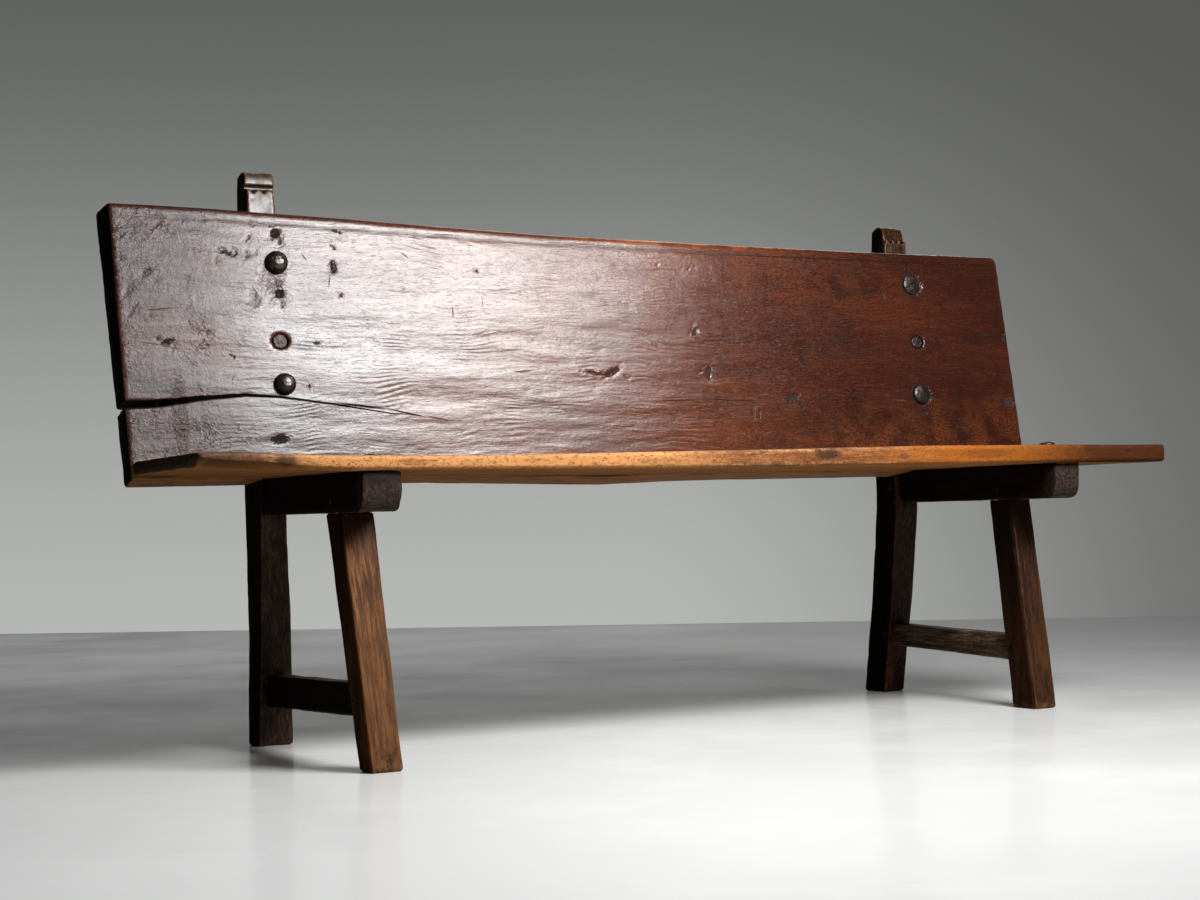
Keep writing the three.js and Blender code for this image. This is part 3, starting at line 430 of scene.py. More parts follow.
# Places along a line on the face, with its height and its half width there, in millimetres
splitPath = [
    (-866, 92, 8), (-813, 93.9, 7), (-747, 101.6, 5.2), (-668, 108, 3.2), (-611, 105.1, 2.4),
    (-523, 93.6, 1.7), (-426, 78.4, 1.2), (-385, 76, 0.4),
]
scoredPath = [
    (-692, 391.8, 1.2), (-587, 388.4, 1.4), (-448, 384.3, 1.4), (-273, 378.1, 1.3), (-99, 373.3, 1.4),
    (180, 369.9, 1.5), (529, 368.5, 1.6), (865, 368.5, 1.4),
]


def lineMask(flat, path):
    (startX, rise, reach), endX = path[0], path[-1][0]
    x, rise, reach = flat.part(0), rise * mm, reach * mm
    for (fromX, fromRise, fromReach), (toX, toRise, toReach) in zip(path, path[1:]):
        span = {"Value": x, "From Min": fromX * mm, "From Max": toX * mm}
        share = flat.node("MapRange", {"clamp": True}, span)
        rise = share * ((toRise - fromRise) * mm) + rise
        reach = share * ((toReach - fromReach) * mm) + reach
    distance = rise.math("ABSOLUTE", flat.part(2) - rise)
    ended = x.step((endX + 5) * mm, (endX - 7) * mm) * x.step((startX - 6) * mm, startX * mm)
    return distance.step(reach, reach * 0.45) * ended


def backMarking(wire, skin, look):
    grime = look["grimeColor"]
    flat = place(wire).seenFrom(tuple(backFoot), (-backLean, 0, 0))
    straight = flat.warped(14, (6 * mm, 0, 5 * mm))
    sunk, dark, pale = None, None, None
    for x, rise, length, width, turn, depth, shade in backLines:
        size = (length * mm, 40 * mm, width * mm)
        mask = straight.patch((x * mm, 0, rise * mm), size, (0, -math.radians(turn), 0), 0.75)
        sunk = mask * depth if sunk is None else sunk.addTimes(mask, depth)
        if shade > 0:
            dark = mask * shade if dark is None else dark.addTimes(mask, shade)
        else:
            pale = mask * -shade if pale is None else pale.addTimes(mask, -shade)
    pushed = flat.warped(70, (3 * mm, 0, 2.4 * mm))
    split = lineMask(flat.warped(90, (mm, 0, mm)), splitPath)
    dark = dark.larger(split)
    x, rise = flat.part(0), flat.part(2)

    # Torn chips, and the rough patches of the old left end
    base, mark, ragged = skin["base"], attribute(wire, "mark"), flat.noise(150, 4, 0.7)
    torn = (mark + (ragged - 0.5) * 1.1).step(0.34, 0.50) * ragged.step(0.66, 0.50)
    chipped = flat.warped(30, (16 * mm, 0, 16 * mm))
    patches = chipped.noise(17, 4, 0.65)
    stained = patches.step(0.52, 0.64) * x.step(*look["patchAlong"])
    base = (stained * look["patchDark"]).blend(base, look["line"])
    oldEnd = x.step(*look["oldEndAlong"])
    rough = oldEnd * patches.step(0.54, 0.66) * look["patchRough"]
    byNail = chipped.patch(*look["byNail"], soft=0.8) * patches.step(0.40, 0.56)
    rough = rough.larger(byNail)
    rough = rough.larger(chipped.patch(*look["byScar"], soft=0.8) * look["scarRough"])
    rough = rough.larger(mark.step(0.0, 0.34) * look["markRough"])
    pits = chipped.chips(120, (2.6, 1, 1), (0, -0.7, 0)) + chipped.chips(260, (1.6, 1, 1), (0, 0.7, 0)) * 0.5
    uneven = flat.noise(75, 5, 0.75)

    # Tones along the face, then grime in what is torn
    warm = x.step(*look["warmLeft"]) * x.step(*look["warmRight"])
    base = (warm * flat.noise(7, 3, 0.6)).blend(base, look["warmColor"])
    grit = flat.vector("MULTIPLY", (0.7, 1, 1)).noise(250, 4, 0.75)
    base = (grit.step(0.53, 0.38) * look["gritDark"]).blend(base, look["line"])
    base = (grit.step(0.56, 0.68) * look["gritLight"]).blend(base, look["light"])
    gloom = x.step(*look["gloomAlong"])
    base = (gloom * look["gloom"]).blend(base, look["dark"])
    base = (torn * look["tornGrime"]).blend(base, grime)
    base = dark.blend(base, grime)
    base = pale.blend(base, look["paleColor"])
    scar = pushed.patch(*look["scar"], soft=0.4)
    ridges = flat.vector("MULTIPLY", (1, 1, 1.7)).noise(110, 3, 0.6)

    # Wax rubbed through low on the right, and along some of the top arris
    low = rise.step(*look["lowRise"]) * x.step(*look["lowAlong"])
    sparks = flat.noise(900, 2, 0.6).step(0.50, 0.66) * flat.noise(24, 3, 0.6).step(0.36, 0.62)
    base = (low * sparks * look["sparks"]).blend(base, look["sparkColor"])
    rim = rise.step(*look["rimRise"]) * x.step(*look["rimLeft"])
    rim = rim * x.step(*look["rimRight"]) * attribute(wire, "worn").step(0.05, 0.4)
    base = (rim * flat.noise(30, 4, 0.7).step(0.35, 0.6)).blend(base, look["rimColor"])

    # The sawn left end is painted black as shade over its dark end grain, and below the seat's top the wood
    # is bare
    sawnEndShade = wire.node("NewGeometry", None, None, 1).part(0).step(-0.35, -0.7)
    beneath = rise.step(*look["beneathRise"])
    dry = flat.vector("MULTIPLY", (0.08, 1, 1)).noise(160, 3, 0.6).step(0.35, 0.65)
    base = (beneath * look["bare"]).blend(base, dry.blend(look["bareDark"], look["bareLight"]))
    skin["base"] = sawnEndShade.blend(base, grime)
    dull = torn.larger(dark).larger(sawnEndShade)
    skin["rough"] = skin["rough"] + dull * 0.6 + low * 0.05 - x.step(*look["sheenAlong"]) * look["sheen"]
    skin["rough"] = skin["rough"] + oldEnd * 0.05 + beneath * 0.4
    skin["coat"] = (1 - dull) * skin["coat"]
    skin["lost"] = dark.larger(sawnEndShade) * 0.9

    # Relief: waves that follow the figure, the marks, the scar, and unevenness that grows to the left
    contour = flat.vector("MULTIPLY", (0.5, 1, 1)).noise(6, 2, 0.5)
    waves = (rise * look["waves"] + contour * look["waveBend"]).sine()
    waves = waves * flat.noise(13, 3, 0.6).step(0.46, 0.72)
    scored = lineMask(flat, scoredPath) * flat.part(1).step(8 * mm, 4 * mm)
    skin["base"] = (scored * 0.6).blend(skin["base"], grime)
    height = skin["height"] + waves * look["waveRelief"]
    height = height - sunk * look["scratchDeep"] - torn * look["tornDeep"]
    height = height - split * look["splitDeep"] - scored * look["scoredDeep"]
    height = height + scar * (ridges * look["scarRelief"] - look["scarRelief"] / 2)
    height = height + rough * (pits - 0.7) * look["roughRelief"]
    uneven = (oldEnd * look["unevenLeft"] + look["unevenAll"]) * uneven
    skin["height"] = height + uneven + grit * look["gritRelief"]


def onBack(coords):
    local = coords - np.array(backFoot)
    sine, cosine = math.sin(backLean), math.cos(backLean)
    through = local[:, 1] * cosine - local[:, 2] * sine
    rise = local[:, 1] * sine + local[:, 2] * cosine
    return local[:, 0], through, rise


# How deep the face is dented, and how dark, at every point of the back plank
def backDents(coords, facing):
    x, through, rise = onBack(coords)
    front = np.clip(1 - through / (12 * mm), 0, 1) * np.clip(-facing[:, 1] * 2, 0, 1)
    depth = np.zeros(len(coords))
    shadow = np.zeros(len(coords))
    for markX, markRise, length, width, turn, sunk, shade in backMarks:
        angle = math.radians(turn)
        length, width = max(length, 5.5) * 1.1 * mm, max(width, 3.4) * 1.1 * mm
        dx, dz = x - markX * mm, rise - markRise * mm
        run = (dx * math.cos(angle) + dz * math.sin(angle)) / length
        side = (dz * math.cos(angle) - dx * math.sin(angle)) / width
        inside = np.clip(1 - run ** 2 - side ** 2, 0, 1)
        around = np.clip(1 - (run ** 2 + side ** 2) / 3, 0, 1)
        depth += inside ** 1.3 * sunk * 0.6 * mm
        shadow = np.maximum(shadow, np.maximum(np.minimum(1, inside * 1.6) * shade, around * 0.3))
    return depth * front, shadow * front


backLook = {
    "grain": along, "leans": True, "cell": 3.0, "cellStretch": 1.9, "rounding": 1,
    "sideShade": 0, "grit": 0, "dryDark": (0.060, 0.034, 0.020), "dryLight": (0.20, 0.125, 0.078),
    "wave": 0.8, "waveLength": 34, "waveStretch": 6, "sunk": 0.6, "proud": 0, "knock": 0.7, "knockSize": 13,
    "wearReach": 8, "wearDepth": 1.2, "flow": 34, "flowScale": 3.2,
    "dark": (0.022, 0.0045, 0.0022), "middle": (0.056, 0.0115, 0.0042), "light": (0.115, 0.027, 0.0075),
    "line": (0.008, 0.0025, 0.0016), "wornColor": (0.11, 0.026, 0.009), "grimeColor": (0.003, 0.002, 0.0015),
    "figureStretch": 14, "figureScale": 130, "figureDepth": 0.4, "fibreScale": 520, "glint": 0.55,
    "fibreDepth": 0.5, "poreDepth": 0.5, "speckScale": 85, "speckDepth": 0.5, "blotchScale": 4.2,
    "warmth": 0.6, "wear": 0.3, "grime": 0.9, "roughness": 0.27, "polish": 0.05, "ior": 1.42,
    "fibreRelief": 0.15, "ripple": 0.45, "rippleStretch": 6, "rippleScale": 150,
    "coat": 0.1, "coatRoughness": 0.22, "paints": [backMarking],
    # Stretches of the face, from where a tone or a roughness is nothing to where it is full
    "patchAlong": (-0.30, 0), "oldEndAlong": (-0.60, -0.74), "gloomAlong": (0.20, 0.75),
    "warmLeft": (-0.62, -0.22), "warmRight": (0.50, 0.02), "sheenAlong": (-0.10, 0.22),
    "lowAlong": (150 * mm, 650 * mm), "rimLeft": (-150 * mm, 60 * mm), "rimRight": (460 * mm, 380 * mm),
    "lowRise": (150 * mm, 10 * mm), "rimRise": (372 * mm, 390 * mm), "beneathRise": (3 * mm, -8 * mm),
    # Patches: middle and half sizes
    "byNail": ((-0.604, 0, 0.31), (0.040, 0.04, 0.10)), "byScar": ((-0.735, 0, 0.05), (0.036, 0.04, 0.046)),
    "scar": ((-775 * mm, 0, 74 * mm), (16 * mm, 40 * mm, 82 * mm)),
    "warmColor": (0.15, 0.040, 0.014), "paleColor": (0.20, 0.12, 0.08), "sparkColor": (0.26, 0.07, 0.012),
    "rimColor": (0.42, 0.13, 0.04), "bareDark": (0.14, 0.050, 0.007), "bareLight": (0.38, 0.140, 0.020),
    "patchDark": 0.6, "patchRough": 0.85, "scarRough": 0.6, "markRough": 0.45, "roughRelief": 2.2,
    "gritDark": 0.6, "gritLight": 0.25, "gritRelief": 0.22, "gloom": 0.5, "tornGrime": 0.75, "sparks": 0.8,
    "bare": 0.85, "sheen": 0.13, "waves": 800, "waveBend": 95, "waveRelief": 0.15, "scratchDeep": 0.6,
    "tornDeep": 1.2, "splitDeep": 2.5, "scoredDeep": 0.8, "scarRelief": 3.2,
    "unevenLeft": 1.2, "unevenAll": 0.35,
}


# Seat plank: orange-brown front edge, dark old left end whose end face is painted in shade, an underside
# painted lighter as bounce light, and a few knots
def seatMarking(wire, skin, look):
    base, height = skin["base"], skin["height"]
    here = place(wire).warped(60, (6 * mm, 6 * mm, 4 * mm))
    x = here.part(0)
    facing = wire.node("NewGeometry", None, None, 1)
    top = facing.part(2).step(0.6, 0.9)
    soaked = here.vector("MULTIPLY", (0.5, 1, 1)).noise(5, 4, 0.6).step(0.40, 0.62)
    base = (top * (soaked * 0.45 + 0.30)).blend(base, look["soakedColor"])

    # The front edge: pale left of the middle, redder to the right, dark at the corner and the tip
    front = here.part(1).step(*look["frontDeep"])
    centre = x.step(*look["paleLeft"]) * x.step(*look["paleRight"]) * front
    base = (centre * look["pale"]).blend(base, look["paleColor"])
    grit = place(wire).vector("MULTIPLY", (0.6, 1, 1)).noise(210, 5, 0.8)
    base = (grit.step(0.50, 0.38) * look["gritDark"]).blend(base, look["gritColor"])
    redder = x.step(*look["redAlong"]) * front
    base = (redder * look["red"]).blend(base, look["redColor"])
    # The underside is painted lighter, as light bounced up from the floor
    under = facing.part(2).step(-0.6, -0.9)
    base = (under * look["under"]).blend(base, look["underColor"])
    skin["rough"] = skin["rough"] + under * 0.45
    speckled = place(wire).vector("MULTIPLY", (0.6, 1, 1)).noise(330, 4, 0.7).step(0.50, 0.64)
    base = (redder * speckled * look["speckled"]).blend(base, look["speckledColor"])
    corner = x.step(*look["cornerAlong"]) * front
    base = (corner * look["corner"]).blend(base, look["cornerColor"])
    # The left-facing end is painted near black as shade
    end = facing.part(0).step(-0.35, -0.7)
    base = (end * look["end"]).blend(base, look["endShadeColor"])
    tip = x.step(*look["tipAlong"]) * (here.noise(30, 4, 0.7) + 0.7) * front
    base = (tip * look["tip"]).blend(base, look["tipColor"])
    skin["rough"] = skin["rough"] + (tip + end) * 0.3

    for spot, size, shade in seatStains:
        mask = here.patch(tuple(c * mm for c in spot), tuple(s * mm for s in size), soft=0.6)
        base = (mask * shade).blend(base, look["stainColor"])
        height = height - mask * 0.8
    pits = here.vector("MULTIPLY", (0.5, 1, 1)).noise(380, 3, 0.7).step(0.60, 0.68)
    skin["base"] = (pits * 0.7).blend(base, look["pitColor"])
    skin["height"] = height - pits * 0.5 + grit * look["gritRelief"]


# Stains and knots: middle and half sizes in millimetres, and how dark
seatStains = [
    ((-747, -285, 440), (26, 20, 12), 0.8), ((150, -290, 440), (34, 14, 14), 0.75),
    ((-150, -288, 430), (60, 12, 9), 0.3), ((470, -291, 436), (70, 12, 10), 0.35),
    ((780, -294, 437), (9, 10, 6), 0.6), ((846, -294, 445), (8, 10, 5), 0.6),
    ((-560, -286, 436), (40, 12, 8), 0.3), ((-430, -287, 444), (12, 10, 5), 0.5),
    ((30, -289, 445), (9, 10, 4), 0.5), ((300, -290, 434), (16, 10, 6), 0.4),
]
seatLook = {
    "grain": along, "cell": 2.6, "cellStretch": 2.6, "rounding": 1,
    "sideShade": 0, "grit": 0.6, "dryDark": (0.10, 0.055, 0.030), "dryLight": (0.30, 0.18, 0.10),
    "wave": 0.5, "waveLength": 30, "waveStretch": 7, "sunk": 0.6, "proud": 0, "knock": 0.9, "knockSize": 11,
    "wearReach": 7, "wearDepth": 0.7, "flow": 26, "flowScale": 4,
    "dark": (0.20, 0.066, 0.018), "middle": (0.38, 0.145, 0.042), "light": (0.53, 0.24, 0.080),
    "line": (0.07, 0.022, 0.008), "wornColor": (0.74, 0.42, 0.19), "grimeColor": (0.014, 0.007, 0.004),
    "figureStretch": 11, "figureScale": 120, "figureDepth": 0.55, "fibreScale": 520, "glint": 0.35,
    "fibreDepth": 0.6, "poreDepth": 0.6, "speckScale": 150, "speckDepth": 0.6, "blotchScale": 6,
    "warmth": 0.6, "wear": 0.5, "grime": 0.8, "roughness": 0.40, "polish": 0.08, "ior": 1.22,
    "fibreRelief": 0.06, "ripple": 0.35, "rippleStretch": 9, "rippleScale": 110,
    "coat": 0, "coatRoughness": 0.3, "paints": [seatMarking],
    # Stretches of the front edge, from where a tone is nothing to where it is full
    "frontDeep": (-0.255, -0.282), "paleLeft": (-0.80, -0.68), "paleRight": (0.0, -0.16),
    "redAlong": (0.16, 0.44), "cornerAlong": (-0.73, -0.84), "tipAlong": (0.46, 0.76),
    "pale": 0.6, "gritDark": 0.7, "gritRelief": 0.8, "red": 0.85, "under": 0.55, "speckled": 0.6,
    "corner": 0.8, "end": 0.95, "tip": 0.9,
    "soakedColor": (0.13, 0.038, 0.010), "paleColor": (0.68, 0.31, 0.10), "gritColor": (0.10, 0.030, 0.007),
    "redColor": (0.24, 0.066, 0.003), "underColor": (0.36, 0.15, 0.038),
    "speckledColor": (0.10, 0.026, 0.002), "cornerColor": (0.045, 0.018, 0.009),
    "endShadeColor": (0.020, 0.009, 0.004), "tipColor": (0.042, 0.011, 0.0008),
    "stainColor": (0.02, 0.009, 0.005), "pitColor": (0.03, 0.013, 0.006),
}


# Rails end in rough grey-brown end grain at their noses, painted dark at the top as the seat's shadow
def railMarking(wire, skin, look):
    here = place(wire)
    nose = here.warped(50, (0, 8 * mm, 0)).part(1).step(*look["noseDeep"])
    crumb = here.noise(240, 4, 0.7)
    tone = crumb.step(0.35, 0.68).blend(look["noseDark"], look["noseLight"])
    # The nose's top is painted dark as the shadow under the seat
    top = here.warped(40, (0, 0, 10 * mm)).part(2).step(*look["noseShadowRise"])
    tone = (top * 0.8).blend(tone, look["noseShadowColor"])
    skin["base"] = nose.blend(skin["base"], tone)
    skin["rough"] = skin["rough"] + nose * 0.15
    skin["height"] = skin["height"] + nose * crumb * look["noseRelief"]


# A leg is painted dark towards its top as the seat's shadow, takes its light tone low down, and is scuffed
# dark at its foot
def legMarking(wire, skin, look):
    here = place(wire).warped(22, (14 * mm, 14 * mm, 30 * mm))
    low = here.part(2).step(*look["lowToneRise"])
    low = low * here.vector("MULTIPLY", (1, 1, 0.15)).noise(60, 3, 0.6).step(0.3, 0.6)
    base = (low * look["lowTone"]).blend(skin["base"], look["light"])
    # Painted shadow of the seat over the leg's top
    top = here.part(2).step(*look["seatShadowRise"])
    base = (top * look["seatShadow"]).blend(base, look["seatShadowColor"])
    scuff = here.part(2).step(*look["scuffedRise"]) * place(wire).noise(70, 4, 0.7).step(0.45, 0.62)
    skin["base"] = (scuff * look["scuffed"]).blend(base, look["scuffedColor"])
    skin["height"] = skin["height"] - scuff * 0.5


# A post is dull below the seat and waxed above the back plank
def postMarking(wire, skin, look):
    here = place(wire)
    wax = here.part(2).step(*look["waxedRise"])
    knocks = here.chips(75, (1, 1, 1.6)) + here.noise(160, 3, 0.6)
    skin["rough"] = skin["rough"] - wax * look["waxShine"]
    skin["coat"] = wax * skin["coat"]
    skin["height"] = skin["height"] + wax * knocks * look["waxRelief"]


timberLook = {
    "grain": up, "cell": 1.9, "cellStretch": 1.9, "rounding": 1,
    "sideShade": 0.85, "grit": 0.6, "dryDark": (0.030, 0.017, 0.010), "dryLight": (0.12, 0.070, 0.042),
    "wave": 1.2, "waveLength": 34, "waveStretch": 3.2, "sunk": 0.1, "proud": 0.7, "knock": 1.4,
    "knockSize": 14, "wearReach": 8, "wearDepth": 0.8, "flow": 14, "flowScale": 7,
    "dark": (0.010, 0.0042, 0.0022), "middle": (0.028, 0.012, 0.0058), "light": (0.062, 0.027, 0.012),
    "line": (0.005, 0.0025, 0.0015), "wornColor": (0.24, 0.095, 0.035), "grimeColor": (0.003, 0.002, 0.0015),
    "figureStretch": 14, "figureScale": 190, "figureDepth": 0.75, "fibreScale": 520, "glint": 0.6,
    "fibreDepth": 0.6, "poreDepth": 0.5, "speckScale": 160, "speckDepth": 0.4, "blotchScale": 6,
    "warmth": 0.6, "wear": 0.75, "grime": 0.85, "roughness": 0.48, "polish": 0.08, "ior": 1.19,
    "fibreRelief": 0.14, "ripple": 0.9, "rippleStretch": 7, "rippleScale": 130,
    "coat": 0, "coatRoughness": 0.3,
}
postBase = {
    **timberLook, "cell": 2.0, "cellStretch": 1.6, "paints": [postMarking],
    "waxedRise": (0.80, 0.84), "waxShine": 0.16, "waxRelief": 1.1,
}
leftPostLook = {
    **postBase, "dark": (0.040, 0.022, 0.012), "middle": (0.085, 0.047, 0.026), "light": (0.13, 0.075, 0.042),
    "coat": 0.7,
}
rightPostLook = {
    **postBase, "dark": (0.028, 0.010, 0.003), "middle": (0.080, 0.031, 0.010), "light": (0.13, 0.052, 0.018),
    "coat": 0.15,
}
legBase = {
    **timberLook, "cellStretch": 2.4, "paints": [legMarking],
    "lowToneRise": (280 * mm, 60 * mm), "lowTone": 0.4,
    "seatShadowRise": (290 * mm, 360 * mm), "seatShadow": 0.75, "seatShadowColor": (0.012, 0.005, 0.003),
    "scuffedRise": (60 * mm, 8 * mm), "scuffed": 0.6, "scuffedColor": (0.008, 0.005, 0.003),
}
leftLegLook = {
    **legBase, "turn": rakeOf("left_front_leg"), "knock": 0.5, "grime": 0.35, "wear": 0.4, "sideShade": 0.95,
    "dark": (0.13, 0.050, 0.015), "middle": (0.230, 0.092, 0.029), "light": (0.13, 0.052, 0.017),
    "line": (0.026, 0.010, 0.004), "grit": 0.25, "fibreRelief": 0.3,
}
rightLegLook = {
    **legBase, "turn": rakeOf("right_front_leg"), "knock": 0.7, "grime": 0.6, "sideShade": 0.6,
    "dark": (0.015, 0.005, 0.002), "middle": (0.036, 0.0125, 0.0045), "light": (0.080, 0.028, 0.009),
}
railBase = {
    **timberLook, "grain": back, "cellStretch": 2.2, "paints": [railMarking],
    "noseDeep": (-250 * mm, -259 * mm), "noseDark": (0.010, 0.006, 0.005), "noseLight": (0.042, 0.027, 0.019),
    "noseShadowRise": (404 * mm, 414 * mm), "noseShadowColor": (0.012, 0.008, 0.006), "noseRelief": 1.1,
}
leftRailLook = {**railBase, "middle": (0.022, 0.006, 0.003)}
rightRailLook = {
    **railBase, "dark": (0.026, 0.007, 0.003), "middle": (0.085, 0.023, 0.008), "light": (0.16, 0.046, 0.016),
}
stretcherLook = {
    **timberLook, "grain": back, "cell": 1.7, "cellStretch": 2.2, "dark": (0.016, 0.008, 0.004),
    "middle": (0.042, 0.021, 0.011), "light": (0.085, 0.043, 0.021),
}
rightStretcherLook = {
    **stretcherLook, "sideShade": 0, "dark": (0.07, 0.042, 0.024), "middle": (0.17, 0.105, 0.060),
    "light": (0.26, 0.165, 0.098),
}
pegLook = {
    **timberLook, "grain": back, "cell": 1.0, "cellStretch": 2.5,
    "wave": 0.3, "waveLength": 9, "waveStretch": 2, "sunk": 0.5, "proud": 0, "knock": 0.5, "knockSize": 4,
    "wearDepth": 0.5, "blotchScale": 40, "flow": 1,
}
crossPegLook = {**pegLook, "grain": along}
backPegLook = {
    **pegLook, "dark": backLook["line"], "middle": backLook["dark"], "light": backLook["middle"],
    "wear": 0, "roughness": 0.30, "ior": 1.42, "leans": True, "sideShade": 0,
    "ripple": 1.4, "rippleStretch": 1, "rippleScale": 160,
}
leftBackPegLook = {
    **backPegLook, "dark": backLook["dark"], "middle": backLook["middle"], "light": backLook["light"],
    "grime": 0.2, "ripple": 2.2,
}

ironLook = {
    "grain": back, "cell": 1.1, "cellStretch": 1.0, "rounding": 3,
    "wave": 0.6, "waveLength": 11, "waveStretch": 1, "sunk": 0.6, "proud": 0, "knock": 0.6, "knockSize": 5,
    "wearReach": 6, "wearDepth": 0.5, "patchScale": 90,
    "dark": (0.030, 0.024, 0.021), "middle": (0.075, 0.062, 0.054), "rustColor": (0.055, 0.024, 0.012),
    "rust": 0.5, "wornColor": (0.17, 0.14, 0.12), "wear": 0.5, "roughness": 0.34, "metal": 0.85,
}
brownIronLook = {
    **ironLook, "dark": (0.008, 0.004, 0.003), "middle": (0.022, 0.010, 0.006), "rust": 0.6,
    "rustColor": (0.030, 0.010, 0.005), "wornColor": (0.070, 0.040, 0.026), "roughness": 0.42, "metal": 0.5,
}

backWood = woodMaterial("waxed back plank", backLook)
seatWood = woodMaterial("polished seat plank", seatLook)
postWood = {
    "left": woodMaterial("dark hewn post", leftPostLook),
    "right": woodMaterial("hewn post", rightPostLook),
}
legWood = {
    "left": woodMaterial("pale worn leg", leftLegLook),
    "right": woodMaterial("worn leg", rightLegLook),
}
railWood = {
    "left": woodMaterial("dark rail", leftRailLook),
    "right": woodMaterial("red rail", rightRailLook),
}
stretcherWood = {
    "left": woodMaterial("dark stretcher", stretcherLook),
    "right": woodMaterial("worn stretcher", rightStretcherLook),
}
backPegWood = {
    "left": woodMaterial("pale back peg", leftBackPegLook),
    "right": woodMaterial("riven back peg", backPegLook),
}
crossPegWood = woodMaterial("riven joint peg", crossPegLook)
iron = {"left": ironMaterial("forged iron", ironLook), "right": ironMaterial("brown iron", brownIronLook)}
postLook = {"left": leftPostLook, "right": rightPostLook}
legLook = {"left": leftLegLook, "right": rightLegLook}
railLook = {"left": leftRailLook, "right": rightRailLook}
print("materials made")

carved("back_plank", backWood, backLook, 1, backDents)
carved("seat_plank", seatWood, seatLook, 2)
nails = ("back_nail_upper", "back_nail_lower", "seat_nail_front", "seat_nail_rear")
crossPegs = ("rail_peg_front", "rail_peg_rear", "stretcher_peg_front", "stretcher_peg_rear")
for seed, side in ((3, "left"), (7, "right")):
    carved(side + "_post", postWood[side], postLook[side], seed)
    carved(side + "_front_leg", legWood[side], legLook[side], seed + 1)
    carved(side + "_rail", railWood[side], railLook[side], seed + 2)
    carved(side + "_stretcher", stretcherWood[side], stretcherLook, seed + 3)
    carved(side + "_back_peg", backPegWood[side], backPegLook, seed)
    for name in crossPegs:
        carved(f"{side}_{name}", crossPegWood, crossPegLook, seed)
    for number, name in enumerate(nails):
        carved(f"{side}_{name}", iron[side], ironLook, seed + number)
print("bench carved")


# Studio: a pale floor that ends at the wall's line, a grey wall behind it, and soft lamps
def lookAlong(yaw, pitch, roll):
    yaw, pitch, roll = (math.radians(angle) for angle in (yaw, pitch, roll))
    forward = Vector((math.sin(yaw) * math.cos(pitch), math.cos(yaw) * math.cos(pitch), math.sin(pitch)))
    level = Vector((math.cos(yaw), -math.sin(yaw), 0))
    rise = level.cross(forward)
    right = level * math.cos(roll) + rise * math.sin(roll)
    top = rise * math.cos(roll) - level * math.sin(roll)
    return Matrix((right, top, -forward)).transposed().to_4x4()


def addCamera():
    camera = bpy.data.objects.new("camera", bpy.data.cameras.new("camera"))
    camera.data.lens = studio["lens"]
    camera.data.sensor_width = 36
    camera.data.clip_end = 50
    turn = lookAlong(studio["cameraYaw"], studio["cameraPitch"], studio["cameraRoll"])
    camera.matrix_world = Matrix.Translation(studio["cameraPlace"]) @ turn
    bpy.context.scene.collection.objects.link(camera)
    bpy.context.scene.camera = camera


def addLamp(name):
    lamp = bpy.data.lights.new(name, "AREA")
    lamp.shape = "RECTANGLE"
    lamp.size, lamp.size_y = studio[name + "Size"]
    lamp.energy = studio[name + "Power"]
    spot = bpy.data.objects.new(name, lamp)
    spot.location = studio[name + "Place"]
    aim = Vector(studio[name + "Aim"]) - spot.location
    spot.rotation_euler = aim.to_track_quat("-Z", "Y").to_euler()
    bpy.context.scene.collection.objects.link(spot)


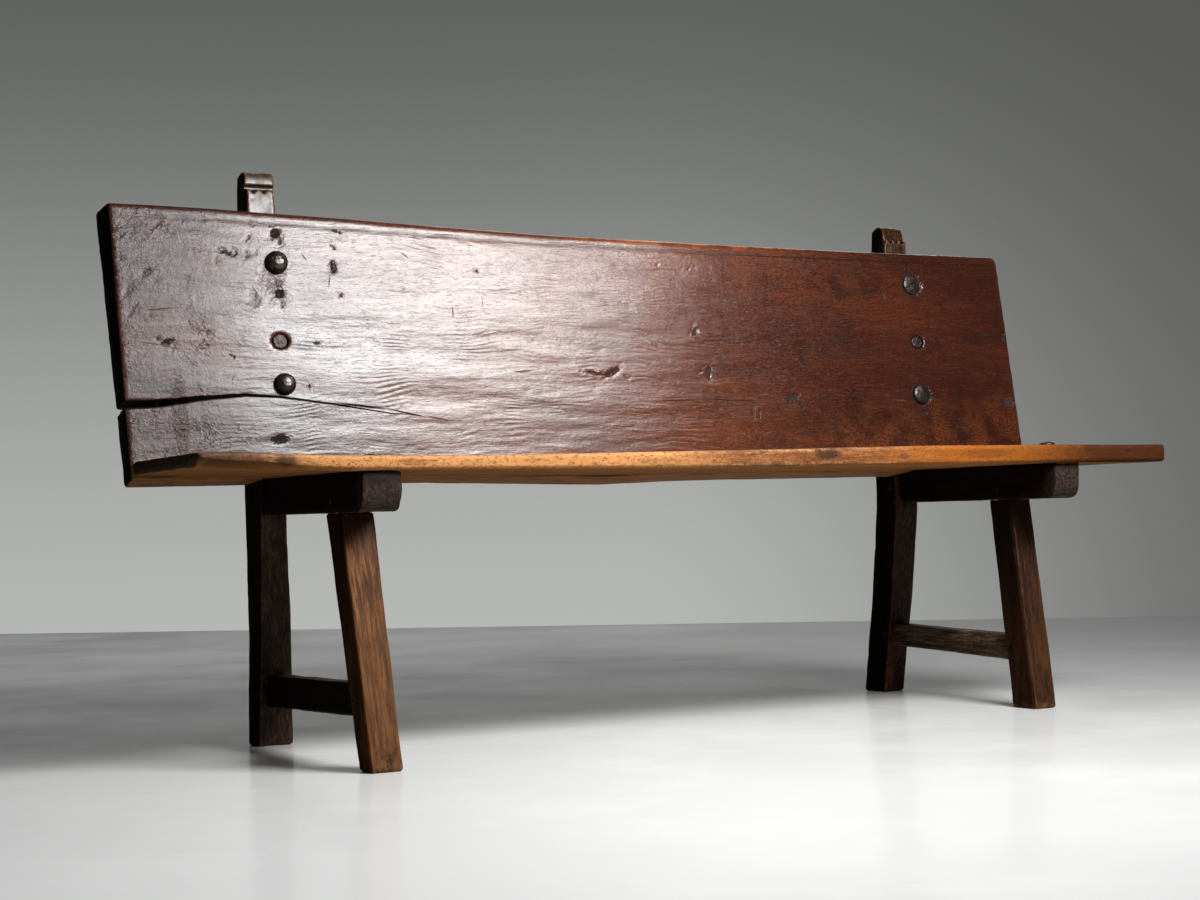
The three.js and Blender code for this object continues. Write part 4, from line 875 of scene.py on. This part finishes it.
def addFloor():
    left, right = (Vector((*studio[name], 0)) for name in ("floorFarLeft", "floorFarRight"))
    run = (right - left).normalized()
    left, right = left - run * studio["floorSpread"], right + run * studio["floorSpread"]
    towards = Vector((left.y - right.y, right.x - left.x, 0)).normalized() * -studio["floorReach"]
    mesh = bpy.data.meshes.new("floor")
    mesh.from_pydata([left, left + towards, right + towards, right], [], [(0, 1, 2, 3)])
    material, wire = newMaterial("floor paint")
    here = place(wire)
    scuff = here.noise(2.2, 5, 0.62).step(0.35, 0.7)
    worn = here.vector("MULTIPLY", (1, 6, 1)).noise(6, 4, 0.7).step(0.60, 0.72)
    scuffed = tuple(studio["floorScuffed"] * share for share in studio["floorColor"])
    base = (scuff * 0.35 + worn * 0.25).blend(studio["floorColor"], scuffed)
    scratches = here.vector("MULTIPLY", (3, 14, 1)).noise(5, 6, 0.8, 1.5).step(0.61, 0.67)
    inShade = here.patch(studio["scratchPlace"], studio["scratchSize"], soft=0.5)
    base = (scratches * inShade * studio["scratchShare"]).blend(base, studio["scratchColor"])
    # Painted shade: the floor darkens towards the right
    rightShade = here.vector("DOT_PRODUCT", studio["viewRight"], 1).step(*studio["rightShadeFrom"])
    base = (rightShade * studio["rightShadeShare"]).blend(base, studio["rightShadeColor"])
    seen = wire.node("LightPath", None, None, 0).larger(wire.node("LightPath", None, None, 3))
    base = seen.blend(studio["floorBounce"], base)
    rough = studio["floorRough"] + scuff * studio["floorScuffRough"]
    finishMaterial(wire, {"Base Color": base, "Roughness": rough})
    mesh.materials.append(material)
    floor = bpy.data.objects.new("floor", mesh)
    bpy.context.scene.collection.objects.link(floor)


# The wall shows to the camera and in reflections, and an even light falls on the bench
def addWall():
    world = bpy.data.worlds.new("studio")
    world.use_nodes = True
    world.node_tree.nodes.clear()
    wire = Wire(world.node_tree)
    way = wire.node("TexCoord", None, None, 0)
    # The wall is painted light low down and darker towards the top and the right, as light and shade on it
    height = way.part(2).step(*studio["wallRise"])
    aside = way.vector("DOT_PRODUCT", studio["viewRight"], 1).step(*studio["wallAside"])
    shown = height.blend(studio["wallLow"], studio["wallHigh"])
    shown = (aside * studio["wallSide"]).blend(shown, studio["wallDark"])
    camera = wire.node("LightPath", None, None, 0)
    glossy = wire.node("LightPath", None, None, 3)
    wall = wire.node("Background", None, {"Color": shown, "Strength": 1})
    leftDark = way.part(0).step(*studio["glowAcross"]) * studio["glowRange"] + studio["glowLeast"]
    glow = wire.node("Background", None, {"Color": shown, "Strength": leftDark})
    light = wire.node("Background", None, {"Color": (1, 1, 1, 1), "Strength": studio["skyLight"]})
    unseen = wire.node("MixShader", None, {0: glossy, 1: light, 2: glow})
    both = wire.node("MixShader", None, {0: camera, 1: unseen, 2: wall})
    wire.node("OutputWorld", None, {"Surface": both})
    bpy.context.scene.world = world


addCamera()
addLamp("key")
addLamp("fill")
addLamp("rear")
addFloor()
addWall()
bpy.context.scene.view_settings.view_transform = "Standard"
print("studio set")
